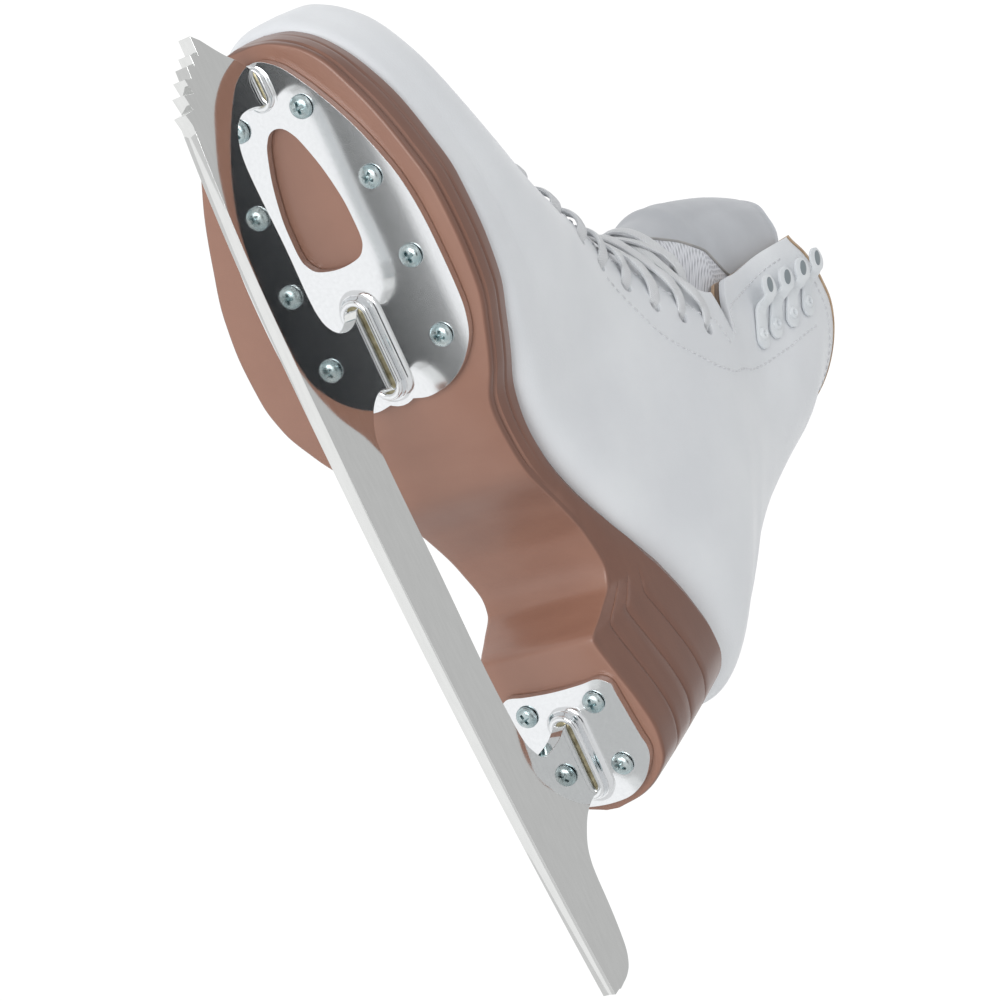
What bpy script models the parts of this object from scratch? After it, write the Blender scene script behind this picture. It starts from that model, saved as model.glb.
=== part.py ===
"""Right-foot figure skate, toe towards +X, +Z up, +Y the inner side of the foot.

The origin is the lowest point of the blade's runner, in the blade's middle plane. Sizes below are in
millimetres and become metres when a mesh is made. Every layer of the boot is cut from one master surface,
the outside of the leather, at its own depth below it.
"""

import math

import bmesh
import bpy
import numpy as np
from mathutils import Matrix, Vector

MM = 0.001
GAP = 0.3

# ---- blade -------------------------------------------------------------------------------------------
BLADE_THICKNESS = 4.0
SPIN_ROCKER = 430.0
REAR_ROCKER = 2036.0
FLAT_SPOT = 8.0
RUNNER_FRONT = 66.9
RUNNER_BACK = -196.0

# ---- plates ------------------------------------------------------------------------------------------
PLATE_THICKNESS = 2.5
SOLE_PLATE_Z = 39.0
HEEL_PLATE_Z = 45.9
COLLAR_HEIGHT = 3.6
TOE_COLLAR_HEIGHT = 1.2
COLLAR_WALL = 2.4
STANCHION_GAP = 0.4
TOE_STANCHION = (62.4, 72.2)
MIDDLE_STANCHION = (-20.4, 3.8)
HEEL_STANCHION = (-150.2, -128.2)

# ---- screws ------------------------------------------------------------------------------------------
SCREW_HEAD_RADIUS = 3.3
SCREW_HEAD_HEIGHT = 1.8
SCREW_SHANK_RADIUS = 1.6
SCREW_LENGTH = 9.0
SCREW_HOLE_RADIUS = 2.0
CROSS_WIDTH = 0.9
CROSS_SPAN = 3.8
SOLE_SCREWS = ((58.3, 10.7), (35.0, 21.2), (12.0, 22.4), (-10.7, 20.8))
HEEL_SCREWS = ((-124.9, 11.3), (-144.9, 11.6))

# ---- boot layers, depth below the outside of the leather ---------------------------------------------
LEATHER = (0.0, 2.2)
STIFFENER = (2.5, 3.7)
LINING = (4.0, 5.2)
FOOTBED = (5.6, 8.6)
SHANK = (0.4, 1.9)
LINING_RISE = 2.5
EYELET_RADIUS = 2.4
HOOK_RIVET_RADIUS = 1.3
LACE_RADIUS = 1.4
TONGUE_THICKNESS = 3.2
TONGUE_SPLIT_Z = 189.0
TONGUE_HINGE = (-35.0, 0.0, 189.0)

# The master surface: one row for each section, from the toe tip to the back of the collar.
# ridge x, z, y; base x, z, y; inner and outer side y; place of the widest point; upper and lower squareness
BOOT = np.array([
    (80.8, 66.0, -3.0, 80.8, 66.0, -3.0, -3.0, -3.0, 0.50, 2.0, 2.0),
    (80.2, 77.0, -3.0, 80.2, 58.5, -3.0, 1.5, -12.0, 0.55, 2.1, 2.6),
    (77.5, 84.5, -2.5, 77.5, 54.0, -3.0, 7.5, -17.0, 0.62, 2.1, 4.0),
    (70.5, 91.5, -2.0, 70.5, 54.0, -2.0, 17.5, -23.0, 0.68, 2.1, 5.5),
    (57.0, 97.5, -1.0, 57.0, 54.0, -2.0, 26.5, -30.5, 0.72, 2.0, 6.5),
    (38.0, 103.5, 0.0, 38.0, 54.0, -2.0, 32.0, -38.0, 0.74, 2.0, 7.0),
    (15.0, 115.5, 1.0, 15.0, 54.0, -2.0, 35.0, -43.5, 0.76, 1.9, 7.0),
    (-6.0, 135.5, 1.0, -8.0, 54.0, -3.0, 33.0, -44.5, 0.76, 1.9, 7.0),
    (-18.0, 151.5, 1.0, -30.0, 55.0, -4.0, 28.5, -40.0, 0.70, 1.9, 6.5),
    (-25.0, 166.0, 1.0, -55.0, 60.0, -3.0, 25.0, -34.0, 0.62, 2.0, 5.5),
    (-28.5, 178.5, 1.0, -85.0, 74.0, -2.0, 26.5, -32.5, 0.58, 2.2, 4.5),
    (-29.5, 192.0, 0.0, -115.0, 90.0, -1.0, 28.0, -31.0, 0.55, 2.4, 3.6),
    (-30.5, 202.0, 0.0, -147.0, 99.5, -0.5, 28.5, -30.5, 0.52, 2.5, 3.1),
    (-31.5, 211.0, 0.0, -160.5, 112.0, 0.0, 27.5, -29.5, 0.50, 2.6, 2.4),
    (-32.5, 219.0, 0.0, -159.0, 131.0, 0.0, 25.5, -28.5, 0.49, 2.7, 1.8),
    (-34.0, 227.0, 0.0, -148.0, 154.0, 0.0, 25.0, -28.0, 0.49, 2.8, 1.7),
    (-35.0, 234.0, 0.0, -136.0, 178.0, 0.0, 26.5, -29.0, 0.50, 2.9, 1.8),
    (-36.0, 240.0, 0.0, -129.0, 200.0, 0.0, 29.0, -31.0, 0.51, 3.0, 1.9),
    (-37.0, 245.0, 0.0, -125.5, 220.0, 0.0, 30.5, -32.5, 0.51, 3.0, 1.9),
    (-38.0, 250.0, 0.0, -122.5, 240.0, 0.0, 31.5, -33.5, 0.51, 3.0, 1.6),
    (-39.0, 258.0, 0.0, -121.5, 256.0, 0.0, 32.5, -34.5, 0.51, 3.0, 1.5),
    (-40.0, 266.0, 0.0, -121.0, 272.0, 0.0, 33.0, -35.0, 0.51, 3.0, 1.5),
])
# Degrees round a section, from the ridge, as (row, degrees) pairs
THROAT_EDGE = ((0, 0), (5.4, 0), (5.7, 13), (6.2, 21), (7, 28), (8, 35), (9, 40), (10, 47.5), (11, 54.3),
               (12.1, 55), (13, 54.3), (14.9, 57), (18.2, 60), (21, 62))
FACING_LINE = ((0, 38), (5, 50), (7, 56), (8.2, 60), (9.2, 64), (10.5, 66.5), (13, 66.3), (15, 68), (21, 72))
EYELETS = ((6.15, 40), (6.75, 44), (7.4, 49), (8.2, 53), (9.1, 57), (9.9, 62), (10.7, 64.5), (11.6, 65))
# The ridge row that lies straight across the tongue from each eyelet
ACROSS = (5.85, 6.2, 6.65, 7.15, 7.8, 8.35, 9.0, 10.0)
HOOKS = (((15.3, 78.5), (15.45, 66.5)), ((16.1, 81.5), (16.5, 70.0)),
         ((16.95, 83.5), (17.4, 71.5)), ((17.9, 85.5), (18.4, 72.5)))
SLIT_BELOW, SLIT_ABOVE, SLIT_END = 12.1, 12.95, 13.05
RIM_HEIGHT = ((0, 240), (60, 240), (70, 243.5), (80, 246), (110, 248), (180, 250))

# The outsole: x, bottom z, top z, inner bottom, inner top, outer bottom, outer top, lean of the top
SOLE = np.array([
    (77.9, 43.2, 53.5, -1.5, -0.5, -4.5, -5.5, 0.0),
    (76.8, 42.0, 54.0, 3.5, 6.0, -9.5, -11.5, 0.0),
    (73.5, 41.8, 54.0, 10.5, 13.0, -16.0, -18.0, 0.0),
    (67.0, 41.8, 54.0, 17.5, 20.0, -22.5, -25.0, 0.0),
    (59.0, 41.8, 54.0, 22.5, 25.5, -27.5, -30.0, 0.0),
    (50.0, 41.8, 54.0, 26.5, 30.0, -31.5, -34.5, 0.0),
    (39.0, 41.8, 54.0, 30.0, 33.5, -36.5, -39.5, 0.0),
    (26.0, 41.8, 54.0, 33.0, 36.5, -41.0, -44.0, 0.0),
    (12.0, 41.8, 54.0, 34.0, 37.0, -45.0, -47.0, 0.0),
    (-2.0, 41.8, 54.0, 33.5, 36.0, -46.5, -48.0, 0.0),
    (-14.0, 41.8, 54.0, 30.5, 32.5, -46.0, -47.0, 0.0),
    (-24.0, 42.0, 54.0, 27.0, 29.0, -43.5, -44.5, 0.0),
    (-34.0, 43.3, 54.3, 23.0, 25.0, -38.5, -39.5, 0.0),
    (-45.0, 46.3, 55.3, 21.0, 23.0, -32.5, -34.0, 0.0),
    (-57.0, 50.5, 58.0, 20.0, 22.3, -28.5, -30.0, 0.0),
    (-70.0, 58.7, 64.5, 19.5, 22.0, -27.0, -28.5, 0.0),
    (-84.0, 65.8, 74.5, 19.5, 22.2, -26.0, -27.5, 0.0),
    (-94.0, 68.0, 81.0, 19.5, 23.0, -24.5, -26.5, 0.0),
    (-99.5, 66.0, 83.0, 19.0, 24.0, -23.5, -26.0, 0.0),
    (-104.0, 57.5, 85.5, 18.3, 24.7, -22.5, -25.8, 0.0),
    (-108.5, 48.7, 87.5, 18.0, 25.2, -21.0, -26.0, 0.0),
    (-119.0, 48.7, 92.0, 20.5, 26.0, -22.5, -26.8, 0.0),
    (-129.0, 48.7, 95.8, 23.3, 26.0, -24.5, -26.8, 0.2),
    (-138.0, 48.7, 98.5, 24.7, 25.0, -25.5, -26.0, 0.6),
    (-146.0, 48.7, 101.0, 23.5, 21.5, -24.5, -22.5, 1.2),
    (-152.5, 48.7, 103.0, 18.5, 15.5, -19.5, -17.0, 2.0),
    (-157.0, 48.9, 104.0, 11.5, 9.5, -12.5, -10.5, 2.8),
    (-159.8, 49.6, 104.0, 2.5, 2.0, -3.5, -3.0, 3.6),
])
SOLE_RISE = 5.0
SOLE_EDGE = 1.3


# ---- scene helpers -----------------------------------------------------------------------------------
def clear_scene():
    """Remove the objects that a new file starts with."""
    for item in list(bpy.data.objects):
        bpy.data.objects.remove(item)


def linear(channel):
    """One sRGB channel from 0 to 255 as a linear value."""
    value = channel / 255.0
    return value / 12.92 if value <= 0.04045 else ((value + 0.055) / 1.055) ** 2.4


def material(name, srgb, roughness, metallic=0.0):
    """A Principled material of one colour."""
    made = bpy.data.materials.new(name)
    made.use_nodes = True
    shader = made.node_tree.nodes["Principled BSDF"]
    shader.inputs["Base Color"].default_value = (*[linear(c) for c in srgb], 1.0)
    shader.inputs["Roughness"].default_value = roughness
    shader.inputs["Metallic"].default_value = metallic
    return made


def place(name, mesh, look, smooth_angle=None):
    """Put a mesh in the scene as a named object with one material."""
    item = bpy.data.objects.new(name, mesh)
    bpy.context.scene.collection.objects.link(item)
    mesh.materials.clear()
    mesh.materials.append(look)
    if smooth_angle is not None:
        mesh.shade_smooth()
        mesh.set_sharp_from_angle(angle=math.radians(smooth_angle))
    return item


def mesh_from(name, vertices, faces):
    """A mesh in metres from millimetre points, closed and with its faces pointing out."""
    mesh = bpy.data.meshes.new(name)
    mesh.from_pydata([[c * MM for c in point] for point in vertices], [], faces)
    sheet = bmesh.new()
    sheet.from_mesh(mesh)
    bmesh.ops.recalc_face_normals(sheet, faces=sheet.faces)
    sheet.to_mesh(mesh)
    sheet.free()
    return mesh


def hide_cutter(item):
    """Mark an object as a tool that only shapes other objects."""
    item.hide_render = True
    item.display_type = 'WIRE'


def boolean(item, tool, operation):
    """Cut or join with another object, which stays in the file as a hidden tool."""
    hide_cutter(tool)
    step = item.modifiers.new(operation.lower(), 'BOOLEAN')
    step.operation = operation
    step.solver = 'EXACT'
    step.object = tool


# ---- the master surface ------------------------------------------------------------------------------
def smooth_rows(table, place_along):
    """Monotone cubic through the rows of a table, read at any fractional row number."""
    steps = np.diff(table, axis=0)
    slopes = np.zeros_like(table)
    slopes[0], slopes[-1] = steps[0], steps[-1]
    before, after = steps[:-1], steps[1:]
    total = np.where(before + after == 0, 1.0, before + after)
    slopes[1:-1] = np.where(before * after > 0, 2 * before * after / total, 0.0)
    along = np.clip(np.asarray(place_along, float), 0, len(table) - 1)
    row = np.clip(np.floor(along).astype(int), 0, len(table) - 2)
    t = (along - row)[..., None]
    return ((2 * t**3 - 3 * t**2 + 1) * table[row] + (t**3 - 2 * t**2 + t) * slopes[row]
            + (3 * t**2 - 2 * t**3) * table[row + 1] + (t**3 - t**2) * slopes[row + 1])


def boot_surface(row, angle):
    """Points on the outside of the boot; the angle is in radians from the ridge, positive inwards (+Y)."""
    values = np.moveaxis(smooth_rows(BOOT, row), -1, 0)
    rx, rz, ry, bx, bz, by, inner, outer, widest, upper, lower = values
    cos, sin = np.cos(angle), np.sin(angle)
    power = np.where(cos >= 0, upper, lower)
    reach = (np.abs(cos)**power + np.abs(sin)**power)**(-1 / power)
    along, across = reach * np.abs(cos), reach * sin
    mx, mz = rx + widest * (bx - rx), rz + widest * (bz - rz)
    my, half = (inner + outer) / 2, (inner - outer) / 2
    end_x, end_z, end_y = np.where(cos >= 0, rx, bx), np.where(cos >= 0, rz, bz), np.where(cos >= 0, ry, by)
    return np.stack([mx + along * (end_x - mx), my + along * (end_y - my) + across * half,
                     mz + along * (end_z - mz)], axis=-1)


def boot_normal(row, angle):
    """Outward unit normals of the master surface."""
    row = np.maximum(np.asarray(row, float), 0.05)
    along = boot_surface(row + 0.03, angle) - boot_surface(row - 0.03, angle)
    around = boot_surface(row, angle + 0.01) - boot_surface(row, angle - 0.01)
    normal = np.cross(around, along)
    return normal / np.maximum(np.linalg.norm(normal, axis=-1, keepdims=True), 1e-9)


def boot_point(row, degrees, depth=0.0):
    """Points at a depth below the leather's outside; the side is the sign of the degrees."""
    row, angle = np.broadcast_arrays(np.asarray(row, float), np.radians(degrees))
    tip = (row < 0.02)[..., None]
    normal = np.where(tip, (1.0, 0.0, 0.0), boot_normal(row, angle))
    return boot_surface(row, angle) - normal * np.asarray(depth)[..., None]


def read(pairs, value):
    """Linear reading of a list of (place, value) pairs."""
    return np.interp(value, [p[0] for p in pairs], [p[1] for p in pairs])


def row_at_height(degrees, height):
    """The row whose surface point, at this angle, lies at a height."""
    low, high = 8.0, 21.0
    for _ in range(30):
        middle = (low + high) / 2
        if boot_surface(middle, math.radians(degrees))[2] < height:
            low = middle
        else:
            high = middle
    return low


def numbered(points):
    """Points of a grid with those that coincide made one: their numbers in the grid and the kept cells."""
    seen, kept = {}, []
    ids = np.zeros(points.shape[:2], int)
    for cell in np.ndindex(ids.shape):
        key = tuple(np.round(points[cell], 3))
        if key not in seen:
            seen[key] = len(kept)
            kept.append(cell)
        ids[cell] = seen[key]
    return ids, kept


def grid_triangles(ids, keep):
    """Triangles of the kept cells, all split along the same diagonal so that nested layers stay apart."""
    triangles = []
    for i in range(ids.shape[0] - 1):
        for j in range(ids.shape[1] - 1):
            if keep(i, j):
                corners = (ids[i, j], ids[i, j + 1], ids[i + 1, j + 1], ids[i + 1, j])
                halves = (corners[0], corners[1], corners[2]), (corners[0], corners[2], corners[3])
                triangles += [list(half) for half in halves if len(set(half)) == 3]
    return triangles


def shell(name, rows, degrees, depths, look, keep=lambda i, j: True):
    """A closed layer between two depths over the kept cells of a grid on the master surface."""
    outside, inside = (boot_point(rows, degrees, depth) for depth in depths)
    ids, kept = numbered(outside)
    cells = grid_triangles(ids, keep)
    used = {(ring[k - 1], vertex) for ring in cells for k, vertex in enumerate(ring)}
    rims = [edge for edge in used if (edge[1], edge[0]) not in used]
    count = len(kept)
    faces = cells + [[v + count for v in reversed(ring)] for ring in cells]
    faces += [[b, a, a + count, b + count] for a, b in rims]
    mesh = mesh_from(name, [outside[cell] for cell in kept] + [inside[cell] for cell in kept], faces)
    sheet = bmesh.new()
    sheet.from_mesh(mesh)
    bmesh.ops.delete(sheet, geom=[v for v in sheet.verts if not v.link_faces], context='VERTS')
    sheet.to_mesh(mesh)
    sheet.free()
    return place(name, mesh, look, 50)


# ---- the boot's layers -------------------------------------------------------------------------------
ROWS_BELOW = (0.0, 0.35, 0.8, 1.4, 2.1, 3.0, 4.0, 5.0, 5.5, 5.9, 6.4, 7.0, 7.7, 8.4, 9.1, 9.8, 10.6, 11.4)
ROWS_CUFF = 6
THROAT_STEPS = 2
SIDE_SHARES = (0.0, 0.1, 0.22, 0.36, 0.5, 0.64, 0.76, 0.87, 1.0)
SIDE_POINTS = THROAT_STEPS + len(SIDE_SHARES)
SIDE_CELLS = SIDE_POINTS - 1
THROAT_ROW = 7
SLIT_ROW = len(ROWS_BELOW)
MARGIN_ROW = 6


def side_degrees(row):
    """Degrees of the columns across one side of the boot at a row."""
    edge, line = read(THROAT_EDGE, row), read(FACING_LINE, row)
    front = [edge + (line - edge) * j / THROAT_STEPS for j in range(THROAT_STEPS)]
    return front + [line + (180 - line) * share for share in SIDE_SHARES]


def side_grid(side, rise):
    """Rows and degrees of one side, from the throat edge down to the base line."""
    rows = [[row] * SIDE_POINTS for row in ROWS_BELOW]
    degrees = [side_degrees(row) for row in ROWS_BELOW]
    for start, end in ((SLIT_BELOW, SLIT_END), (SLIT_ABOVE, SLIT_END + 0.06)):
        rows.append([start + (end - start) * min(j / THROAT_STEPS, 1) for j in range(SIDE_POINTS)])
        degrees.append(side_degrees(start))
    base = np.array(rows[-1])
    for step in range(1, ROWS_CUFF + 1):
        share = step / ROWS_CUFF
        across = side_degrees(13.0 + 5.2 * share)
        extra = rise if step == ROWS_CUFF else 0.0
        top = np.array([row_at_height(d, read(RIM_HEIGHT, d) + extra) for d in across])
        rows.append(list(base + (top - base) * share))
        degrees.append(across)
    return np.array(rows), side * np.array(degrees)


def both_sides(rise=0.0):
    """The grids of the two sides put together, from base line to base line over the throat."""
    rows, degrees = side_grid(1, rise)
    other_rows, other_degrees = side_grid(-1, rise)
    return np.hstack([other_rows[:, ::-1], rows]), np.hstack([other_degrees[:, ::-1], degrees])


def side_cell(j):
    """The cell's number counted from the throat edge, or -1 for the cell that spans the throat."""
    return j - SIDE_POINTS if j >= SIDE_POINTS else SIDE_CELLS - 1 - j


def layer(name, depths, look, keep, rise=0.0):
    """A closed layer over the cells of the boot's grid that keep(row, cell from the throat, side) names."""
    rows, degrees = both_sides(rise)

    def wanted(i, j):
        side = 1 if j >= SIDE_POINTS else -1
        return keep(i, -1 if j == SIDE_CELLS else side_cell(j), side)

    return shell(name, rows, degrees, depths, look, wanted)


def in_leather(i, cell, side):
    """All cells but the open throat, the slit below the cuff and the gap between the lasted margins."""
    if cell < 0:
        return i < THROAT_ROW
    in_slit = i == SLIT_ROW and cell < THROAT_STEPS
    between_margins = cell >= SIDE_CELLS - 2 and MARGIN_ROW <= i < SLIT_ROW - 3
    return not in_slit and not between_margins


def make_upper(look):
    """The whole-cut leather with its lasted margin, open throat, slit, lace and rivet holes."""
    upper = layer("upper", LEATHER, look, in_leather)
    boolean(upper, hole_cutter("upper_holes", True), 'DIFFERENCE')


def make_lining(look):
    """The lining, which stops behind the eyelet facings and stands a little above the leather's rim."""

    def keep(i, cell, side):
        if cell < 0:
            return i < THROAT_ROW - 2
        behind_facing = THROAT_ROW - 2 <= i <= SLIT_ROW and cell < THROAT_STEPS + 1
        over_board = cell >= SIDE_CELLS - 2 and 3 <= i < SLIT_ROW
        return not behind_facing and not over_board

    layer("lining", LINING, look, keep, LINING_RISE)


def make_stiffeners(board_look, facing_look, pad_look):
    """The toe puff, heel counter, insole board, facings and collar padding between leather and lining."""
    last = SIDE_CELLS - 1
    counter_top = SLIT_ROW + 3
    layer("toe_puff", STIFFENER, board_look, lambda i, cell, side: 1 <= i < 6 and cell < last - 4)
    layer("heel_counter", STIFFENER, board_look,
          lambda i, cell, side: SLIT_ROW - 3 <= i < counter_top and cell >= 5
          and (i > SLIT_ROW or cell < last - 3))
    layer("insole_board", STIFFENER, board_look, lambda i, cell, side: 3 <= i < SLIT_ROW and cell >= last - 2)
    layer("collar_padding", STIFFENER, pad_look,
          lambda i, cell, side: counter_top < i <= SLIT_ROW + ROWS_CUFF and cell >= 5)
    for sign, label in ((1, "inner"), (-1, "outer")):
        facing = layer("eyelet_facing_" + label, STIFFENER, facing_look,
                       lambda i, cell, side: side == sign and THROAT_ROW + 1 < i < SLIT_ROW and 0 <= cell < 3)
        boolean(facing, hole_cutter("facing_holes_" + label, False), 'DIFFERENCE')
        cuff = layer("hook_facing_" + label, STIFFENER, facing_look,
                     lambda i, cell, side: side == sign and i > SLIT_ROW and 0 <= cell < 4)
        boolean(cuff, hole_cutter("cuff_holes_" + label, True), 'DIFFERENCE')


def make_floor(footbed_look, shank_look):
    """The footbed on the insole board, and the steel shank between the lasted margins."""
    last = SIDE_CELLS - 1
    layer("footbed", FOOTBED, footbed_look, lambda i, cell, side: 6 <= i < SLIT_ROW - 1 and cell >= last - 1)
    layer("steel_shank", SHANK, shank_look, lambda i, cell, side: 11 <= i < 14 and cell >= last)


def hole_cutter(name, with_rivets):
    """Cylinders at every lace hole, and at every hook rivet, as one cutting tool."""
    sheet = bmesh.new()
    spots = [(row, side * d, EYELET_RADIUS) for row, d in EYELETS for side in (1, -1)]
    if with_rivets:
        spots += [(base[0], side * base[1], HOOK_RIVET_RADIUS + GAP) for base, _ in HOOKS for side in (1, -1)]
    for row, degrees, radius in spots:
        centre = Vector(boot_point(row, degrees)) * MM
        normal = Vector(boot_normal(row, math.radians(degrees)))
        turn = normal.to_track_quat('Z', 'Y').to_matrix().to_4x4()
        bmesh.ops.create_cone(sheet, cap_ends=True, segments=8, radius1=radius * MM, radius2=radius * MM,
                              depth=14 * MM, matrix=Matrix.Translation(centre) @ turn)
    mesh = bpy.data.meshes.new(name)
    sheet.to_mesh(mesh)
    sheet.free()
    return place(name, mesh, bpy.data.materials["leather"])


# ---- tongue ------------------------------------------------------------------------------------------
def make_tongue(look):
    """The fixed lower tongue under the laces and the hinged upper tongue that folds forwards."""
    share = np.linspace(-1, 1, 9)
    rows, degrees, outer = [], [], []
    for start in (5.0, 5.8, 6.6, 7.6, 8.6, 9.6, 10.6):
        lift = (start - 5.0) / 5.6
        wide = read(THROAT_EDGE, start) + 9
        turn = share * wide
        end = np.array([row_at_height(abs(d), TONGUE_SPLIT_Z - 1.2) for d in share * 56])
        rows.append(start + (end - 10.6) * lift**2)
        degrees.append(turn if start < 10 else share * 56)
        outer.append(9.6 - 3.8 * np.cos(share * math.pi / 2) * min(lift * 3, 1))
    outer = np.array(outer)
    shell("tongue_lower", np.array(rows), np.array(degrees), (outer, outer + TONGUE_THICKNESS), look)

    # height, front x, half width, depth from front to side edge, along the upper tongue
    sections = ((190.2, -30.5, 19.0, 22.0), (203, -29.5, 20.0, 24.0), (219, -31.0, 21.0, 23.5),
                (237, -34.0, 22.0, 21.0), (250, -38.0, 21.5, 17.0), (259, -41.5, 17.5, 11.0),
                (266, -44.0, 11.0, 5.0))
    turns = np.radians(np.linspace(-86, 86, 13))
    points = []
    for inset in (0.0, TONGUE_THICKNESS):
        for height, front, half, depth in sections:
            for turn in turns:
                points.append((front - inset - (depth - inset) * (1 - math.cos(turn)),
                               (half - inset * 0.9) * math.sin(turn), height))
    wide, tall = len(turns), len(sections)
    front_ids = np.arange(wide * tall).reshape(tall, wide)
    back_ids = front_ids + wide * tall
    faces = []
    for i in range(tall - 1):
        for j in range(wide - 1):
            for ids in (front_ids, back_ids):
                faces.append([ids[i, j], ids[i, j + 1], ids[i + 1, j + 1], ids[i + 1, j]])
    for j in range(wide - 1):
        for i in (0, tall - 1):
            faces.append([front_ids[i, j], front_ids[i, j + 1], back_ids[i, j + 1], back_ids[i, j]])
    for i in range(tall - 1):
        for j in (0, wide - 1):
            faces.append([front_ids[i, j], front_ids[i + 1, j], back_ids[i + 1, j], back_ids[i, j]])
    hinge = Vector(TONGUE_HINGE)
    mesh = mesh_from("tongue_upper", [Vector(p) - hinge for p in points], faces)
    item = place("tongue_upper", mesh, look, 50)
    item.location = hinge * MM


# ---- lace --------------------------------------------------------------------------------------------
def make_lace(look):
    """One lace from tucked end to tucked end, crossing over the tongue between the lace holes."""
    over, under = -(LACE_RADIUS + 1.5), LINING[0] + LACE_RADIUS + 0.25
    last = len(EYELETS) - 1

    def strand(k, middle, side):
        """From hole k on one side, over the facing, to its edge on the way to a crossing row."""
        row, degrees = EYELETS[k]
        edge = read(THROAT_EDGE, row)
        brim = row + (middle - row) * (degrees - edge) / degrees
        return [(row, side * degrees, over), (brim, side * edge, over)]

    def leg(k, side, high):
        """From hole k on one side, over the facing and the tongue, to under hole k+1 opposite."""
        middle = (ACROSS[k] + ACROSS[k + 1]) / 2
        row, degrees = EYELETS[k + 1]
        edge = read(THROAT_EDGE, row)
        share = [(edge + turn) / degrees for turn in (-14, -4)]
        spots = [(middle + (row - middle) * s, -side * s * degrees, depth)
                 for s, depth in zip(share, (1.4, under))]
        return (strand(k, middle, side) + [(middle, 0, -4.4 if high else -0.9)] + spots
                + [(row, -side * degrees, under)])

    def tuck(side, high):
        """From the last hole over the tongue, then in behind the cuff flap."""
        middle = ACROSS[last] + 0.2
        return strand(last, middle, side) + [(middle, 0, -4.4 if high else -0.9), (10.9, -side * 44, 1.4),
                                             (11.5, -side * 58, under + 0.4), (12.2, -side * 70, under + 1.0)]

    halves = []
    for start_side in (1, -1):
        spots, side = [], start_side
        for k in range(last):
            spots += leg(k, side, start_side > 0)
            side = -side
        halves.append(spots + tuck(side, start_side > 0))
    row, degrees = EYELETS[0]
    bar = [(row, degrees, under), (row, 24, 5.4), (row, 0, 2.0), (row, -24, 5.4), (row, -degrees, under)]
    route = halves[0][::-1] + bar + halves[1]
    curve = bpy.data.curves.new("lace", 'CURVE')
    curve.dimensions = '3D'
    curve.bevel_depth = LACE_RADIUS * MM
    curve.bevel_resolution = 2
    curve.use_fill_caps = True
    spline = curve.splines.new('POLY')
    spline.points.add(len(route) - 1)
    for knot, (row, degrees, depth) in zip(spline.points, route):
        knot.co = (*(boot_point(row, degrees, depth) * MM), 1.0)
    curve.materials.append(look)
    item = bpy.data.objects.new("lace", curve)
    bpy.context.scene.collection.objects.link(item)


# ---- hooks -------------------------------------------------------------------------------------------
def make_hooks(look):
    """Eight coated lace hooks: a base on the leather with its rivet, and a curled-over head."""
    for side, label in ((1, "inner"), (-1, "outer")):
        for k, (base, head) in enumerate(HOOKS):
            foot = Vector(boot_point(base[0], side * base[1]))
            tip = Vector(boot_point(head[0], side * head[1]))
            normal = Vector(boot_normal(base[0], side * math.radians(base[1])))
            along = (tip - foot) - (tip - foot).dot(normal) * normal
            along.normalize()
            frame = Matrix((along, normal.cross(along), normal)).transposed().to_4x4()
            name = f"hook_{label}_{k + 1}"
            item = place(name, hook_mesh(name, (tip - foot).length), look, 40)
            item.matrix_world = Matrix.Translation(foot * MM) @ frame


def hook_mesh(name, reach):
    """A bent strip along +X with its rivet down -Z, in millimetres before scaling."""
    side = [(-5.0, 0.5), (reach - 7.0, 0.9), (reach - 4.5, 1.6), (reach - 3.6, 3.0), (reach - 2.6, 4.4),
            (reach + 3.5, 4.4), (reach + 4.0, 5.0), (reach + 3.5, 5.6), (reach - 3.6, 5.6),
            (reach - 5.2, 4.4), (reach - 5.9, 2.6), (reach - 7.2, 2.1), (-5.0, 1.7)]
    halves = [3.2] * 3 + [3.0] * 2 + [3.4] * 4 + [3.0] * 2 + [3.2] * 2
    points = [(x, s * half, z) for s in (-1, 1) for (x, z), half in zip(side, halves)]
    count = len(side)
    faces = [list(range(count)), [v + count for v in reversed(range(count))]]
    faces += [[k, (k + 1) % count, (k + 1) % count + count, k + count] for k in range(count)]
    mesh = mesh_from(name, points, faces)
    sheet = bmesh.new()
    sheet.from_mesh(mesh)
    rivet = bmesh.ops.create_cone(sheet, cap_ends=True, segments=10, radius1=HOOK_RIVET_RADIUS * MM,
                                  radius2=HOOK_RIVET_RADIUS * MM, depth=4.4 * MM,
                                  matrix=Matrix.Translation((0, 0, -1.2 * MM)))
    body = [f for f in sheet.faces if not any(v in rivet["verts"] for v in f.verts)]
    bmesh.ops.triangulate(sheet, faces=body)
    sheet.to_mesh(mesh)
    sheet.free()
    return union_of_parts(mesh)


def union_of_parts(mesh):
    """Join the overlapping closed bodies of a mesh into one body."""
    item = bpy.data.objects.new("union", mesh)
    bpy.context.scene.collection.objects.link(item)
    step = item.modifiers.new("join", 'BOOLEAN')
    step.operation = 'UNION'
    step.use_self = True
    tool_mesh = bpy.data.meshes.new("speck")
    tool = bpy.data.objects.new("speck", tool_mesh)
    bpy.context.scene.collection.objects.link(tool)
    step.object = tool
    bpy.context.view_layer.update()
    joined = bpy.data.meshes.new_from_object(item.evaluated_get(bpy.context.evaluated_depsgraph_get()))
    bpy.data.objects.remove(item)
    bpy.data.objects.remove(tool)
    return joined


# ---- blade and plates --------------------------------------------------------------------------------
def prism(outline, low, high, plane='XZ'):
    """Points and faces of an outline extruded between two values of the third axis."""
    count = len(outline)
    points = []
    for level in (low, high):
        points += [(a, level, b) if plane == 'XZ' else (a, b, level) for a, b in outline]
    faces = [list(range(count)), [v + count for v in reversed(range(count))]]
    faces += [[k, (k + 1) % count, (k + 1) % count + count, k + count] for k in range(count)]
    return points, faces


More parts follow.
